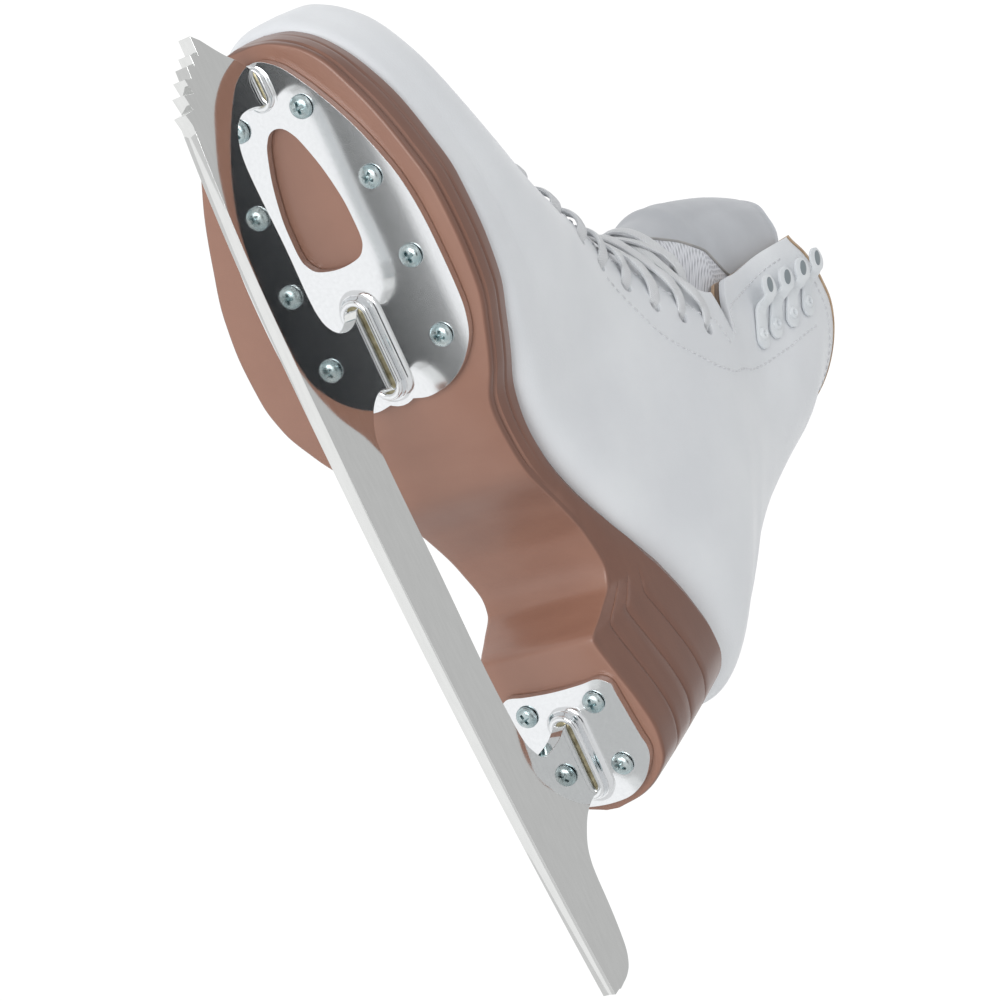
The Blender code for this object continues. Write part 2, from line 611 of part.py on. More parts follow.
def runner_height(x):
    """Height of the runner's edge: a round rocker in front, a longer one behind, flat at the contact."""
    reach = max(abs(x) - FLAT_SPOT, 0.0)
    return reach**2 / (2 * (SPIN_ROCKER if x > 0 else REAR_ROCKER))


def make_blade(look):
    """The runner with its toe pick and three stanchions, one plate of steel."""
    teeth = [(86.8, 19.2), (81.4, 19.0), (82.7, 15.7), (79.7, 15.6), (80.5, 12.4), (77.2, 12.0),
             (77.9, 9.2), (73.7, 10.0), (74.6, 6.0), (70.3, 6.9), (70.1, 3.1), (RUNNER_FRONT, 4.8)]
    front = [(x, runner_height(x)) for x in (58, 46, 34, 24, 16, 8)]
    back = [(x, runner_height(x)) for x in (-8, -40, -80, -120, -160, RUNNER_BACK)]
    tail = [(-196.7, 9.5), (-196.3, 13.0), (-195.6, 17.5), (-194.0, 20.4), (-190.4, 22.6), (-184.5, 23.7)]
    heel = [(-176.7, 24.4), (-167.1, 24.8), (-162.5, 25.5), (-158.7, 27.1), (-155.3, 30.0),
            (-152.6, 33.3), (-151.0, 37.0), (HEEL_STANCHION[0], 41.5)]
    heel += [(HEEL_STANCHION[0], HEEL_PLATE_Z - GAP), (HEEL_STANCHION[1], HEEL_PLATE_Z - GAP)]
    arch_back = [(HEEL_STANCHION[1], 41.5), (-129.7, 36.0), (-130.0, 29.5), (-129.4, 25.6), (-126.2, 22.9),
                 (-121.7, 20.7), (-114.0, 19.6), (-97.3, 18.5), (-70.0, 18.4), (-44.0, 17.8), (-30.7, 17.8),
                 (-26.6, 18.6), (-23.1, 20.7), (-20.0, 23.9), (-18.2, 28.3), (-18.9, 33.0)]
    middle = [(MIDDLE_STANCHION[0], 35.4), (MIDDLE_STANCHION[0], SOLE_PLATE_Z - GAP),
              (MIDDLE_STANCHION[1], SOLE_PLATE_Z - GAP), (MIDDLE_STANCHION[1], 35.2)]
    arch_front = [(1.4, 32.4), (0.4, 28.2), (1.4, 23.5), (3.9, 20.2), (7.5, 18.2), (14.0, 17.4), (28.0, 17.7),
                  (44.0, 17.2), (52.0, 17.4), (57.0, 18.7), (60.5, 21.0), (62.8, 24.4), (63.4, 28.0),
                  (63.2, 32.0)]
    toe = [(TOE_STANCHION[0], 35.4), (TOE_STANCHION[0], SOLE_PLATE_Z - GAP),
           (TOE_STANCHION[1], SOLE_PLATE_Z - GAP), (72.5, 37.5), (73.5, 36.2), (76.1, 33.2), (78.5, 29.7),
           (81.2, 26.4), (84.8, 22.4)]
    outline = teeth + front + back + tail + heel + arch_back + middle + arch_front + toe
    half = BLADE_THICKNESS / 2
    points, faces = prism(outline, -half, half)
    place("blade", mesh_from("blade", points, faces), look, 25)


def stadium(start, end, half, steps=6):
    """An outline with straight sides and round ends, along X."""
    points = []
    for centre, turn in ((end - half, -90), (start + half, 90)):
        for k in range(steps + 1):
            angle = math.radians(turn + 180 * k / steps)
            points.append((centre + half * math.cos(angle), half * math.sin(angle)))
    return points


def circle(x, y, radius, steps=12):
    """An outline of a round hole."""
    return [(x + radius * math.cos(2 * math.pi * k / steps), y + radius * math.sin(2 * math.pi * k / steps))
            for k in range(steps)]


def sheet_with_holes(name, outline, holes, low, high):
    """A flat sheet of metal with holes through it."""
    sheet = bmesh.new()
    for loop in [outline] + holes:
        corners = [sheet.verts.new((x * MM, y * MM, low * MM)) for x, y in loop]
        for k, corner in enumerate(corners):
            sheet.edges.new((corners[k - 1], corner))
    bmesh.ops.triangle_fill(sheet, use_beauty=True, use_dissolve=False, edges=sheet.edges[:])
    lifted = bmesh.ops.extrude_face_region(sheet, geom=sheet.faces[:])
    rise = Vector((0, 0, (high - low) * MM))
    bmesh.ops.translate(sheet, vec=rise, verts=[v for v in lifted["geom"] if isinstance(v, bmesh.types.BMVert)])
    bmesh.ops.recalc_face_normals(sheet, faces=sheet.faces)
    mesh = bpy.data.meshes.new(name)
    sheet.to_mesh(mesh)
    sheet.free()
    return mesh


def collar(name, span, plate_z, height, look):
    """The pressed lip round a stanchion, a ring that stands down from its plate."""
    inner = BLADE_THICKNESS / 2 + STANCHION_GAP
    ring = sheet_with_holes(name, stadium(span[0] - STANCHION_GAP - COLLAR_WALL,
                                          span[1] + STANCHION_GAP + COLLAR_WALL, inner + COLLAR_WALL),
                            [box_loop(span[0] - STANCHION_GAP, span[1] + STANCHION_GAP, inner)],
                            plate_z - height, plate_z + 0.8)
    return place(name, ring, look, 30)


def box_loop(start, end, half):
    """A rectangular outline about the X axis."""
    return [(start, -half), (end, -half), (end, half), (start, half)]


def mirrored(half_outline):
    """A closed outline from its +Y half, whose first and last points may lie on the X axis."""
    other = [(x, -y) for x, y in reversed(half_outline) if y > 0.01]
    return half_outline + other


def make_plates(look):
    """The two mounting plates, each with its screw holes and the collars of its stanchions."""
    sole_half = [(73.1, 0), (73.1, 4), (70.0, 9.8), (64.4, 13.4), (58.8, 17), (53.8, 21), (46.9, 24.3),
                 (39.3, 26.8), (31.9, 29.1), (22, 30.6), (10.4, 31.1), (-2, 31.0), (-7.9, 30.2), (-13.2, 28.4),
                 (-18, 24.9), (-21.4, 21.2), (-24, 16.6), (-25.3, 12.0), (-25.7, 8.0), (-24.9, 3.5), (-24.6, 0)]
    drop_half = [(55.3, 0), (54.7, 2.2), (53, 3.9), (50, 5.6), (42, 8.3), (33, 10.1), (27, 10.5), (21, 10.4),
                 (18, 9.3), (15.8, 6.6), (14.8, 0)]
    heel_half = [(-119.5, 0), (-119.1, 9.4), (-118.5, 14.1), (-119, 16.4), (-121.0, 18.6), (-126.1, 19.4),
                 (-137.6, 20.7), (-141, 21.3), (-144.8, 20.6), (-149.9, 17.2), (-153.3, 13.2), (-155.6, 8.0),
                 (-156.4, 0)]
    for name, half, holes, spots, level, spans in (
            ("sole_plate", sole_half, [mirrored(drop_half)], SOLE_SCREWS, SOLE_PLATE_Z,
             (TOE_STANCHION, MIDDLE_STANCHION)),
            ("heel_plate", heel_half, [], HEEL_SCREWS, HEEL_PLATE_Z, (HEEL_STANCHION,))):
        holes = holes + [circle(x, s * y, SCREW_HOLE_RADIUS) for x, y in spots for s in (1, -1)]
        mesh = sheet_with_holes(name, mirrored(half), holes, level, level + PLATE_THICKNESS)
        plate = place(name, mesh, look, 30)
        for k, span in enumerate(spans):
            height = TOE_COLLAR_HEIGHT if span is TOE_STANCHION else COLLAR_HEIGHT
            boolean(plate, collar(f"{name}_collar_{k + 1}", span, level, height, look), 'UNION')


def make_screws(look):
    """Twelve cross-recessed pan-head screws that share one mesh, heads down."""
    profile = [(0.0, 0.0), (SCREW_HEAD_RADIUS * 0.62, 0.15), (SCREW_HEAD_RADIUS * 0.92, 0.75),
               (SCREW_HEAD_RADIUS, SCREW_HEAD_HEIGHT), (SCREW_SHANK_RADIUS, SCREW_HEAD_HEIGHT),
               (SCREW_SHANK_RADIUS, SCREW_HEAD_HEIGHT + SCREW_LENGTH - 1.5),
               (SCREW_SHANK_RADIUS * 0.4, SCREW_HEAD_HEIGHT + SCREW_LENGTH), (0.0, SCREW_HEAD_HEIGHT + SCREW_LENGTH)]
    steps = 8
    points = [(0, 0, profile[0][1])]
    for radius, height in profile[1:-1]:
        points += [(*spot, height) for spot in circle(0, 0, radius, steps)]
    points.append((0, 0, profile[-1][1]))
    last = len(points) - 1
    faces = [[0, 1 + k, 1 + (k + 1) % steps] for k in range(steps)]
    for ring in range(len(profile) - 3):
        start = 1 + ring * steps
        faces += [[start + k, start + (k + 1) % steps, start + steps + (k + 1) % steps, start + steps + k]
                  for k in range(steps)]
    start = 1 + (len(profile) - 3) * steps
    faces += [[last, start + k, start + (k + 1) % steps] for k in range(steps)]
    blank = place("screw_blank", mesh_from("screw_blank", points, faces), look)
    arm, half = CROSS_SPAN / 2, CROSS_WIDTH / 2
    cross = [(arm, -half), (arm, half), (half, half), (half, arm), (-half, arm), (-half, half), (-arm, half),
             (-arm, -half), (-half, -half), (-half, -arm), (half, -arm), (half, -half)]
    tool = place("screw_cross", mesh_from("screw_cross", *prism(cross, -1.0, 1.1, 'XY')), look)
    boolean(blank, tool, 'DIFFERENCE')
    bpy.context.view_layer.update()
    screw = bpy.data.meshes.new_from_object(blank.evaluated_get(bpy.context.evaluated_depsgraph_get()))
    screw.name = "screw"
    bpy.data.objects.remove(blank)
    bpy.data.objects.remove(tool)
    for label, spots, level in (("sole", SOLE_SCREWS, SOLE_PLATE_Z), ("heel", HEEL_SCREWS, HEEL_PLATE_Z)):
        for k, (x, y, side) in enumerate([(x, s * y, s) for x, y in spots for s in (1, -1)]):
            item = place(f"{label}_screw_{k + 1}", screw, look, 30)
            item.location = (x * MM, y * MM, (level - GAP - SCREW_HEAD_HEIGHT) * MM)
            item.rotation_euler.z = math.radians(20 * k * side)


# ---- outsole -----------------------------------------------------------------------------------------
def make_outsole(look):
    """The moulded sole with its heel, hollowed to the shape of the lasted boot and drilled for the screws."""
    rings = []
    for x, bottom, top, in_low, in_top, out_low, out_top, lean in SOLE:
        back = x + lean
        middle, in_mid, out_mid = (bottom + top) / 2, (in_low + in_top) / 2, (out_low + out_top) / 2
        inset = min(3.0, (in_top - out_top) * 0.2)
        edge = min(SOLE_EDGE, (in_low - out_low) * 0.2)
        rings.append([(x, in_low - edge, bottom), (x, in_low, bottom + SOLE_EDGE),
                      ((x + back) / 2, in_mid + 0.6, middle), (back, in_top, top),
                      (back, in_top - inset, top + SOLE_RISE), (back, out_top + inset, top + SOLE_RISE),
                      (back, out_top, top), ((x + back) / 2, out_mid - 0.6, middle),
                      (x, out_low, bottom + SOLE_EDGE), (x, out_low + edge, bottom)])
    size = len(rings[0])
    points = [spot for ring in rings for spot in ring]
    faces = [list(range(size)), [v + size * (len(rings) - 1) for v in reversed(range(size))]]
    for i in range(len(rings) - 1):
        faces += [[i * size + k, i * size + (k + 1) % size, (i + 1) * size + (k + 1) % size, (i + 1) * size + k]
                  for k in range(size)]
    outsole = place("outsole", mesh_from("outsole", points, faces), look, 35)
    boolean(outsole, last_tool(look), 'DIFFERENCE')
    sheet = bmesh.new()
    for spots, level in ((SOLE_SCREWS, SOLE_PLATE_Z), (HEEL_SCREWS, HEEL_PLATE_Z)):
        for x, y in spots:
            for side in (1, -1):
                depth = SCREW_LENGTH + 1.0
                spot = Vector((x, side * y, level + depth / 2)) * MM
                bmesh.ops.create_cone(sheet, cap_ends=True, segments=10, radius1=SCREW_HOLE_RADIUS * MM,
                                      radius2=SCREW_HOLE_RADIUS * MM, depth=depth * MM,
                                      matrix=Matrix.Translation(spot))
    mesh = bpy.data.meshes.new("screw_holes")
    sheet.to_mesh(mesh)
    sheet.free()
    boolean(outsole, place("screw_holes", mesh, look), 'DIFFERENCE')


def last_tool(look):
    """The boot's outside as a closed solid, a gap larger all round, which shapes the top of the outsole."""
    rows, degrees = both_sides()
    tall_enough = SLIT_ROW + 4
    outside = boot_point(rows[:tall_enough], degrees[:tall_enough], -GAP)
    ids, kept = numbered(outside)
    faces = grid_triangles(ids, lambda i, j: True)
    faces.append([v for k, v in enumerate(ids[-1]) if v != ids[-1][k - 1]])
    return place("last_tool", mesh_from("last_tool", [outside[cell] for cell in kept], faces), look)


# ---- the whole skate ---------------------------------------------------------------------------------
def build():
    clear_scene()
    leather = material("leather", (226, 228, 230), 0.45)
    tan = material("tan_lining", (190, 165, 140), 0.8)
    board = material("fibre_board", (170, 140, 105), 0.85)
    rubber = material("brown_sole", (140, 100, 82), 0.42)
    steel = material("blade_steel", (215, 215, 212), 0.12, 1.0)
    nickel = material("nickel_plate", (222, 226, 228), 0.1, 1.0)
    zinc = material("zinc_screw", (190, 205, 208), 0.28, 1.0)
    coated = material("white_coating", (225, 230, 232), 0.35)
    cotton = material("white_lace", (224, 226, 228), 0.85)
    foam = material("foam", (205, 200, 190), 0.9)
    make_blade(steel)
    make_plates(nickel)
    make_screws(zinc)
    make_outsole(rubber)
    make_upper(leather)
    make_lining(tan)
    make_stiffeners(board, leather, foam)
    make_floor(foam, steel)
    make_tongue(leather)
    make_lace(cotton)
    make_hooks(coated)


build()
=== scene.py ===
"""Looks of the right-foot figure skate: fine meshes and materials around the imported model.

The frame is the model's own: toe towards +X, +Z up, +Y the inner side of the foot, origin at the lowest
point of the runner. Shapes are worked out in millimetres and become metres when a mesh is made.
"""

import math
from contextlib import contextmanager

import bmesh
import bpy
import numpy as np
from mathutils import Matrix, Vector


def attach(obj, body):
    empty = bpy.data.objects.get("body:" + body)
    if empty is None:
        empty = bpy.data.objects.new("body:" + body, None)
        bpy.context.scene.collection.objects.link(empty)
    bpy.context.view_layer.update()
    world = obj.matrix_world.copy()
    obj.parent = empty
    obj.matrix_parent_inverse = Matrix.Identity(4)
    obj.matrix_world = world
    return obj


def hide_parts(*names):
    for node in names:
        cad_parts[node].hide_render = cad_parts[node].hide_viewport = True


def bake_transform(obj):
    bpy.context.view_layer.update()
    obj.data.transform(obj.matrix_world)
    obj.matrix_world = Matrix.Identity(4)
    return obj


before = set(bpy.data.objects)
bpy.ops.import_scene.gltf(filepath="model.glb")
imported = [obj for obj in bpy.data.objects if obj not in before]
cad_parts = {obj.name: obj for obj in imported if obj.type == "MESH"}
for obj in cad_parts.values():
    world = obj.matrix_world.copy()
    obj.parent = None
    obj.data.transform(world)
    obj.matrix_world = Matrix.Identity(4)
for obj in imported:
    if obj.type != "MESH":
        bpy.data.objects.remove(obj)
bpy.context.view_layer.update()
MM = 0.001
PI = math.pi

# ---- sizes of the model, in millimetres --------------------------------------------------------------
BLADE_HALF = 2.0
SPIN_ROCKER, REAR_ROCKER, FLAT_SPOT = 430.0, 2036.0, 8.0
RUNNER_FRONT, RUNNER_BACK = 66.9, -196.0
GROUND_BAND = 2.8
HOLLOW = 0.25
PLATE_THICKNESS = 2.5
SOLE_PLATE_Z, HEEL_PLATE_Z = 39.0, 45.9
COLLAR_HEIGHT, TOE_COLLAR_HEIGHT = 3.6, 1.2
TOE_STANCHION, MIDDLE_STANCHION, HEEL_STANCHION = (62.4, 72.2), (-20.4, 3.8), (-150.2, -128.2)
SCREW_HEAD_HEIGHT = 1.8
METAL_GAP = 0.3
SOLE_SCREWS = ((58.3, 10.7), (35.0, 21.2), (12.0, 22.4), (-10.7, 20.8))
HEEL_SCREWS = ((-124.9, 11.3), (-144.9, 11.6))
LEATHER, STIFFENER, LINING, FOOTBED = (0.0, 2.2), (2.5, 3.7), (4.0, 5.2), (5.6, 8.6)
LINING_RISE, LINING_ROLL = 3.6, 4.3
EYELET_RADIUS = 2.4
RIVET_RADIUS = 1.5

# One row for each section of the boot, from the toe tip to the back of the collar:
# ridge x, z, y; base x, z, y; inner and outer side y; place of the widest point; upper and lower squareness
BOOT = np.array([
    (80.8, 66.0, -3.0, 80.8, 66.0, -3.0, -3.0, -3.0, 0.50, 2.0, 2.0),
    (80.2, 77.0, -3.0, 80.2, 58.5, -3.0, 1.5, -12.0, 0.55, 2.1, 2.6),
    (77.5, 84.5, -2.5, 77.5, 54.0, -3.0, 7.5, -17.0, 0.62, 2.1, 4.0),
    (70.5, 91.5, -2.0, 70.5, 54.0, -2.0, 17.5, -23.0, 0.68, 2.1, 5.5),
    (57.0, 97.5, -1.0, 57.0, 54.0, -2.0, 26.5, -30.5, 0.72, 2.0, 6.5),
    (38.0, 103.5, 0.0, 38.0, 54.0, -2.0, 32.0, -38.0, 0.74, 2.0, 7.0),
    (15.0, 115.5, 1.0, 15.0, 54.0, -2.0, 35.0, -43.5, 0.76, 1.9, 7.0),
    (-6.0, 135.5, 1.0, -8.0, 54.0, -3.0, 33.0, -44.5, 0.76, 1.9, 7.0),
    (-18.0, 151.5, 1.0, -30.0, 55.0, -4.0, 28.5, -40.0, 0.70, 1.9, 6.5),
    (-25.0, 166.0, 1.0, -55.0, 60.0, -3.0, 25.0, -34.0, 0.62, 2.0, 5.5),
    (-28.5, 178.5, 1.0, -85.0, 74.0, -2.0, 26.5, -32.5, 0.58, 2.2, 4.5),
    (-29.5, 192.0, 0.0, -115.0, 90.0, -1.0, 28.0, -31.0, 0.55, 2.4, 3.6),
    (-30.5, 202.0, 0.0, -147.0, 99.5, -0.5, 28.5, -30.5, 0.52, 2.5, 3.1),
    (-31.5, 211.0, 0.0, -160.5, 112.0, 0.0, 27.5, -29.5, 0.50, 2.6, 2.4),
    (-32.5, 219.0, 0.0, -159.0, 131.0, 0.0, 25.5, -28.5, 0.49, 2.7, 1.8),
    (-34.0, 227.0, 0.0, -148.0, 154.0, 0.0, 25.0, -28.0, 0.49, 2.8, 1.7),
    (-35.0, 234.0, 0.0, -136.0, 178.0, 0.0, 26.5, -29.0, 0.50, 2.9, 1.8),
    (-36.0, 240.0, 0.0, -129.0, 200.0, 0.0, 29.0, -31.0, 0.51, 3.0, 1.9),
    (-37.0, 245.0, 0.0, -125.5, 220.0, 0.0, 30.5, -32.5, 0.51, 3.0, 1.9),
    (-38.0, 250.0, 0.0, -122.5, 240.0, 0.0, 31.5, -33.5, 0.51, 3.0, 1.6),
    (-39.0, 258.0, 0.0, -121.5, 256.0, 0.0, 32.5, -34.5, 0.51, 3.0, 1.5),
    (-40.0, 266.0, 0.0, -121.0, 272.0, 0.0, 33.0, -35.0, 0.51, 3.0, 1.5),
])
# Degrees round a section, from the ridge, as (row, degrees) pairs
THROAT_EDGE = ((0, 0), (5.4, 0), (5.7, 13), (6.2, 21), (7, 28), (8, 35), (9, 40), (10, 47.5), (11, 54.3),
               (12.1, 55), (13, 54.3), (14.9, 57), (18.2, 60), (21, 62))
FACING_LINE = ((0, 38), (5, 50), (7, 56), (8.2, 60), (9.2, 64), (10.5, 66.5), (13, 66.3), (15, 68), (21, 72))
EYELETS = ((6.15, 40), (6.75, 44), (7.4, 49), (8.2, 53), (9.1, 57), (9.9, 62), (10.7, 64.5), (11.6, 65))
ACROSS = (5.85, 6.2, 6.65, 7.15, 7.8, 8.35, 9.0, 10.0)
HOOKS = (((15.3, 78.5), (15.45, 66.5)), ((16.1, 81.5), (16.5, 70.0)),
         ((16.95, 83.5), (17.4, 71.5)), ((17.9, 85.5), (18.4, 72.5)))
SIDE_SEAM = ((8.44, 57.9), (8.94, 62.0), (9.92, 70.4), (10.42, 73.2), (10.97, 74.5), (11.8, 73.9),
             (12.8, 74.9), (14.01, 78.8), (15.53, 88.6), (16.54, 93.0), (17.5, 95.5), (18.18, 97.5))
SLIT_BELOW, SLIT_ABOVE, SLIT_END, SLIT_TIP = 12.1, 12.95, 13.05, 0.06
CUFF_ROW, CUFF_ROW_SPAN = 13.0, 5.2
RIM_HEIGHT = ((0, 240), (60, 240), (70, 243.5), (80, 246), (110, 248), (180, 250))

# The outsole: x, bottom z, top z, inner bottom, inner top, outer bottom, outer top, lean of the top
SOLE = np.array([
    (77.9, 43.2, 53.5, -1.5, -0.5, -4.5, -5.5, 0.0),
    (76.8, 42.0, 54.0, 6.0, 6.0, -9.5, -11.5, 0.0),
    (73.5, 41.8, 54.0, 13.8, 13.0, -16.0, -18.0, 0.0),
    (67.0, 41.8, 54.0, 20.8, 20.0, -22.5, -25.0, 0.0),
    (59.0, 41.8, 54.0, 25.2, 25.5, -27.5, -30.0, 0.0),
    (50.0, 41.8, 54.0, 29.2, 30.0, -31.5, -34.5, 0.0),
    (39.0, 41.8, 54.0, 32.8, 33.5, -36.5, -39.5, 0.0),
    (26.0, 41.8, 54.0, 35.8, 36.5, -41.0, -44.0, 0.0),
    (12.0, 41.8, 54.0, 36.4, 37.0, -45.0, -47.0, 0.0),
    (-2.0, 41.8, 54.0, 35.6, 36.0, -46.5, -48.0, 0.0),
    (-14.0, 41.8, 54.0, 32.2, 32.5, -46.0, -47.0, 0.0),
    (-24.0, 42.0, 54.0, 28.4, 29.0, -43.5, -44.5, 0.0),
    (-34.0, 43.3, 54.3, 23.0, 25.0, -38.5, -39.5, 0.0),
    (-45.0, 46.3, 55.3, 21.0, 23.0, -32.5, -34.0, 0.0),
    (-57.0, 50.5, 58.0, 20.0, 22.3, -28.5, -30.0, 0.0),
    (-70.0, 58.7, 64.5, 19.5, 22.0, -27.0, -28.5, 0.0),
    (-84.0, 65.8, 74.5, 19.5, 22.2, -26.0, -27.5, 0.0),
    (-94.0, 68.0, 81.0, 19.5, 23.0, -24.5, -26.5, 0.0),
    (-99.5, 66.0, 83.0, 19.0, 24.0, -23.5, -26.0, 0.0),
    (-104.0, 57.5, 85.5, 18.3, 24.7, -22.5, -25.8, 0.0),
    (-108.5, 48.7, 87.5, 18.0, 25.2, -21.0, -26.0, 0.0),
    (-119.0, 48.7, 92.0, 20.5, 26.0, -22.5, -26.8, 0.0),
    (-129.0, 48.7, 95.8, 23.3, 26.0, -24.5, -26.8, 0.2),
    (-138.0, 48.7, 98.5, 24.7, 25.0, -25.5, -26.0, 0.6),
    (-146.0, 48.7, 101.0, 23.5, 21.5, -24.5, -22.5, 1.2),
    (-152.5, 48.7, 103.0, 18.5, 15.5, -19.5, -17.0, 2.0),
    (-157.0, 48.9, 104.0, 11.5, 9.5, -12.5, -10.5, 2.8),
    (-159.8, 49.6, 104.0, 2.5, 2.0, -3.5, -3.0, 3.6),
])
SOLE_RISE, SOLE_EDGE, SOLE_GAP = 5.0, 1.3, 0.25
FLOOR_LEVEL = -1.5
LIGHT_AIM = (-0.04, 0.0, 0.12)


# ---- small helpers ----------------------------------------------------------------------------------
@contextmanager
def opened(mesh):
    """A mesh opened for editing, and written back afterwards."""
    sheet = bmesh.new()
    sheet.from_mesh(mesh)
    yield sheet
    sheet.to_mesh(mesh)
    sheet.free()


def put(name, data, place=None):
    """A new object in the scene, at a place given as a matrix."""
    item = bpy.data.objects.new(name, data)
    bpy.context.scene.collection.objects.link(item)
    if place is not None:
        item.matrix_world = place
    return item


def turned(direction):
    """The turn that points Z along a direction."""
    return Vector(direction).to_track_quat('Z', 'Y').to_matrix().to_4x4()


def unit(vectors):
    """Vectors along the last axis, made one long."""
    return vectors / np.linalg.norm(vectors, axis=-1, keepdims=True)


def reach_along(path):
    """The length run along a path at each of its points."""
    return np.concatenate([[0.0], np.cumsum(np.linalg.norm(np.diff(path, axis=0), axis=1))])


def resample(at, reach, values):
    """Rows of values, which lie at given reaches, read at other places."""
    return np.stack([np.interp(at, reach, column) for column in values.T], axis=-1)


def feed(tree, value, socket):
    """Link a socket to another, or give it a value."""
    if isinstance(value, bpy.types.NodeSocket):
        tree.links.new(value, socket)
    else:
        socket.default_value = value


def add_node(tree, kind, *inputs, **settings):
    """A shader node with its settings and its (socket, value or other socket) inputs."""
    step = tree.nodes.new("ShaderNode" + kind)
    for key, value in settings.items():
        setattr(step, key, value)
    for socket, value in inputs:
        feed(tree, value, step.inputs[socket])
    return step


# ---- camera, floor and light -------------------------------------------------------------------------
def make_camera():
    """A camera below and in front of the skate, on its inner side, looking up at the blade and the sole."""
    lens = bpy.data.cameras.new("camera")
    lens.lens, lens.sensor_width = 92.92, 36.0
    lens.clip_start, lens.clip_end = 0.01, 30.0
    right, down, ahead = (-0.4060, 0.8130, 0.4174), (-0.8826, -0.2303, -0.4099), (-0.2371, -0.5348, 0.8110)
    turn = Matrix((Vector(right), -Vector(down), -Vector(ahead))).transposed().to_4x4()
    bpy.context.scene.camera = put("camera", lens, Matrix.Translation((0.1062, 0.3887, -0.5267)) @ turn)


def glow(name, colour, strength):
    """An even emission, for the cards that the metal reflects."""
    look = bpy.data.materials.new(name)
    look.use_nodes = True
    tree = look.node_tree
    tree.nodes.clear()
    shine = add_node(tree, "Emission", ("Color", (*colour, 1.0)), ("Strength", strength))
    add_node(tree, "OutputMaterial", (0, shine.outputs[0]))
    return look


def square(name, half, look):
    """A flat square mesh that faces up."""
    mesh = bpy.data.meshes.new(name)
    with opened(mesh) as sheet:
        bmesh.ops.create_grid(sheet, x_segments=1, y_segments=1, size=half)
    mesh.materials.append(look)
    return mesh


def make_card(name, centre, size, look, roll=0.0):
    """A flat card that only shows in reflections, facing the skate."""
    turn = turned(-Vector(centre)) @ Matrix.Rotation(roll, 4, 'Z')
    place = Matrix.Translation(centre) @ turn @ Matrix.Diagonal((*size, 1.0, 1.0))
    card = put(name, square(name, 0.5, look), place)
    card.visible_camera = card.visible_diffuse = card.visible_shadow = False


def make_light(name, centre, size, energy):
    """A square soft light that faces the middle of the skate."""
    lamp = bpy.data.lights.new(name, 'AREA')
    lamp.shape = 'SQUARE'
    lamp.size, lamp.energy = size, energy
    item = put(name, lamp, Matrix.Translation(centre) @ turned(Vector(centre) - Vector(LIGHT_AIM)))
    item.visible_camera = False


def make_stage():
    """A pale floor well below the skate, an even pale room, soft lights and cards for the metal."""
    look = Look("floor_paint", (238, 238, 238), 0.7)
    look.tint(look.noise(3.0, 4), (237, 237, 237), (239, 239, 239))
    mesh = square("floor", 8.0, look.material)
    mesh.transform(Matrix.Translation((0, 0, FLOOR_LEVEL)))
    put("floor", mesh)

    world = bpy.data.worlds.new("room")
    world.use_nodes = True
    bpy.context.scene.world = world
    tree = world.node_tree
    tree.nodes.clear()
    place = add_node(tree, "TexCoord")
    split = add_node(tree, "SeparateXYZ", (0, place.outputs["Generated"]))
    fade = add_node(tree, "MapRange", ("Value", split.outputs["Y"]), ("From Min", -0.2), ("From Max", 0.5),
                    ("To Min", 1.05), ("To Max", 0.62), interpolation_type='SMOOTHSTEP')
    back = add_node(tree, "Background", ("Color", (1.0, 1.0, 1.0, 1.0)), ("Strength", fade.outputs[0]))
    add_node(tree, "OutputWorld", (0, back.outputs[0]))

    make_card("card_dark", (-0.113, 1.023, -1.086), (0.81, 0.53),
              glow("dark_card", (0.006, 0.008, 0.011), 1.0), math.radians(-4.2))
    make_card("card_white", (-0.36, -0.82, -1.2), (1.3, 1.2), glow("white_card", (1.0, 1.0, 1.0), 1.05))
    make_light("key", (0.6, 1.4, 0.3), 0.9, 2.2)
    make_light("under", (0.45, 0.2, -1.2), 0.7, 8.0)
    view = bpy.context.scene.view_settings
    view.view_transform, view.look = 'Standard', 'None'


# ---- materials ---------------------------------------------------------------------------------------
def linear(srgb):
    """An sRGB colour from 0 to 255 as linear values."""
    shares = [channel / 255.0 for channel in srgb]
    return tuple(c / 12.92 if c <= 0.04045 else ((c + 0.055) / 1.055) ** 2.4 for c in shares)


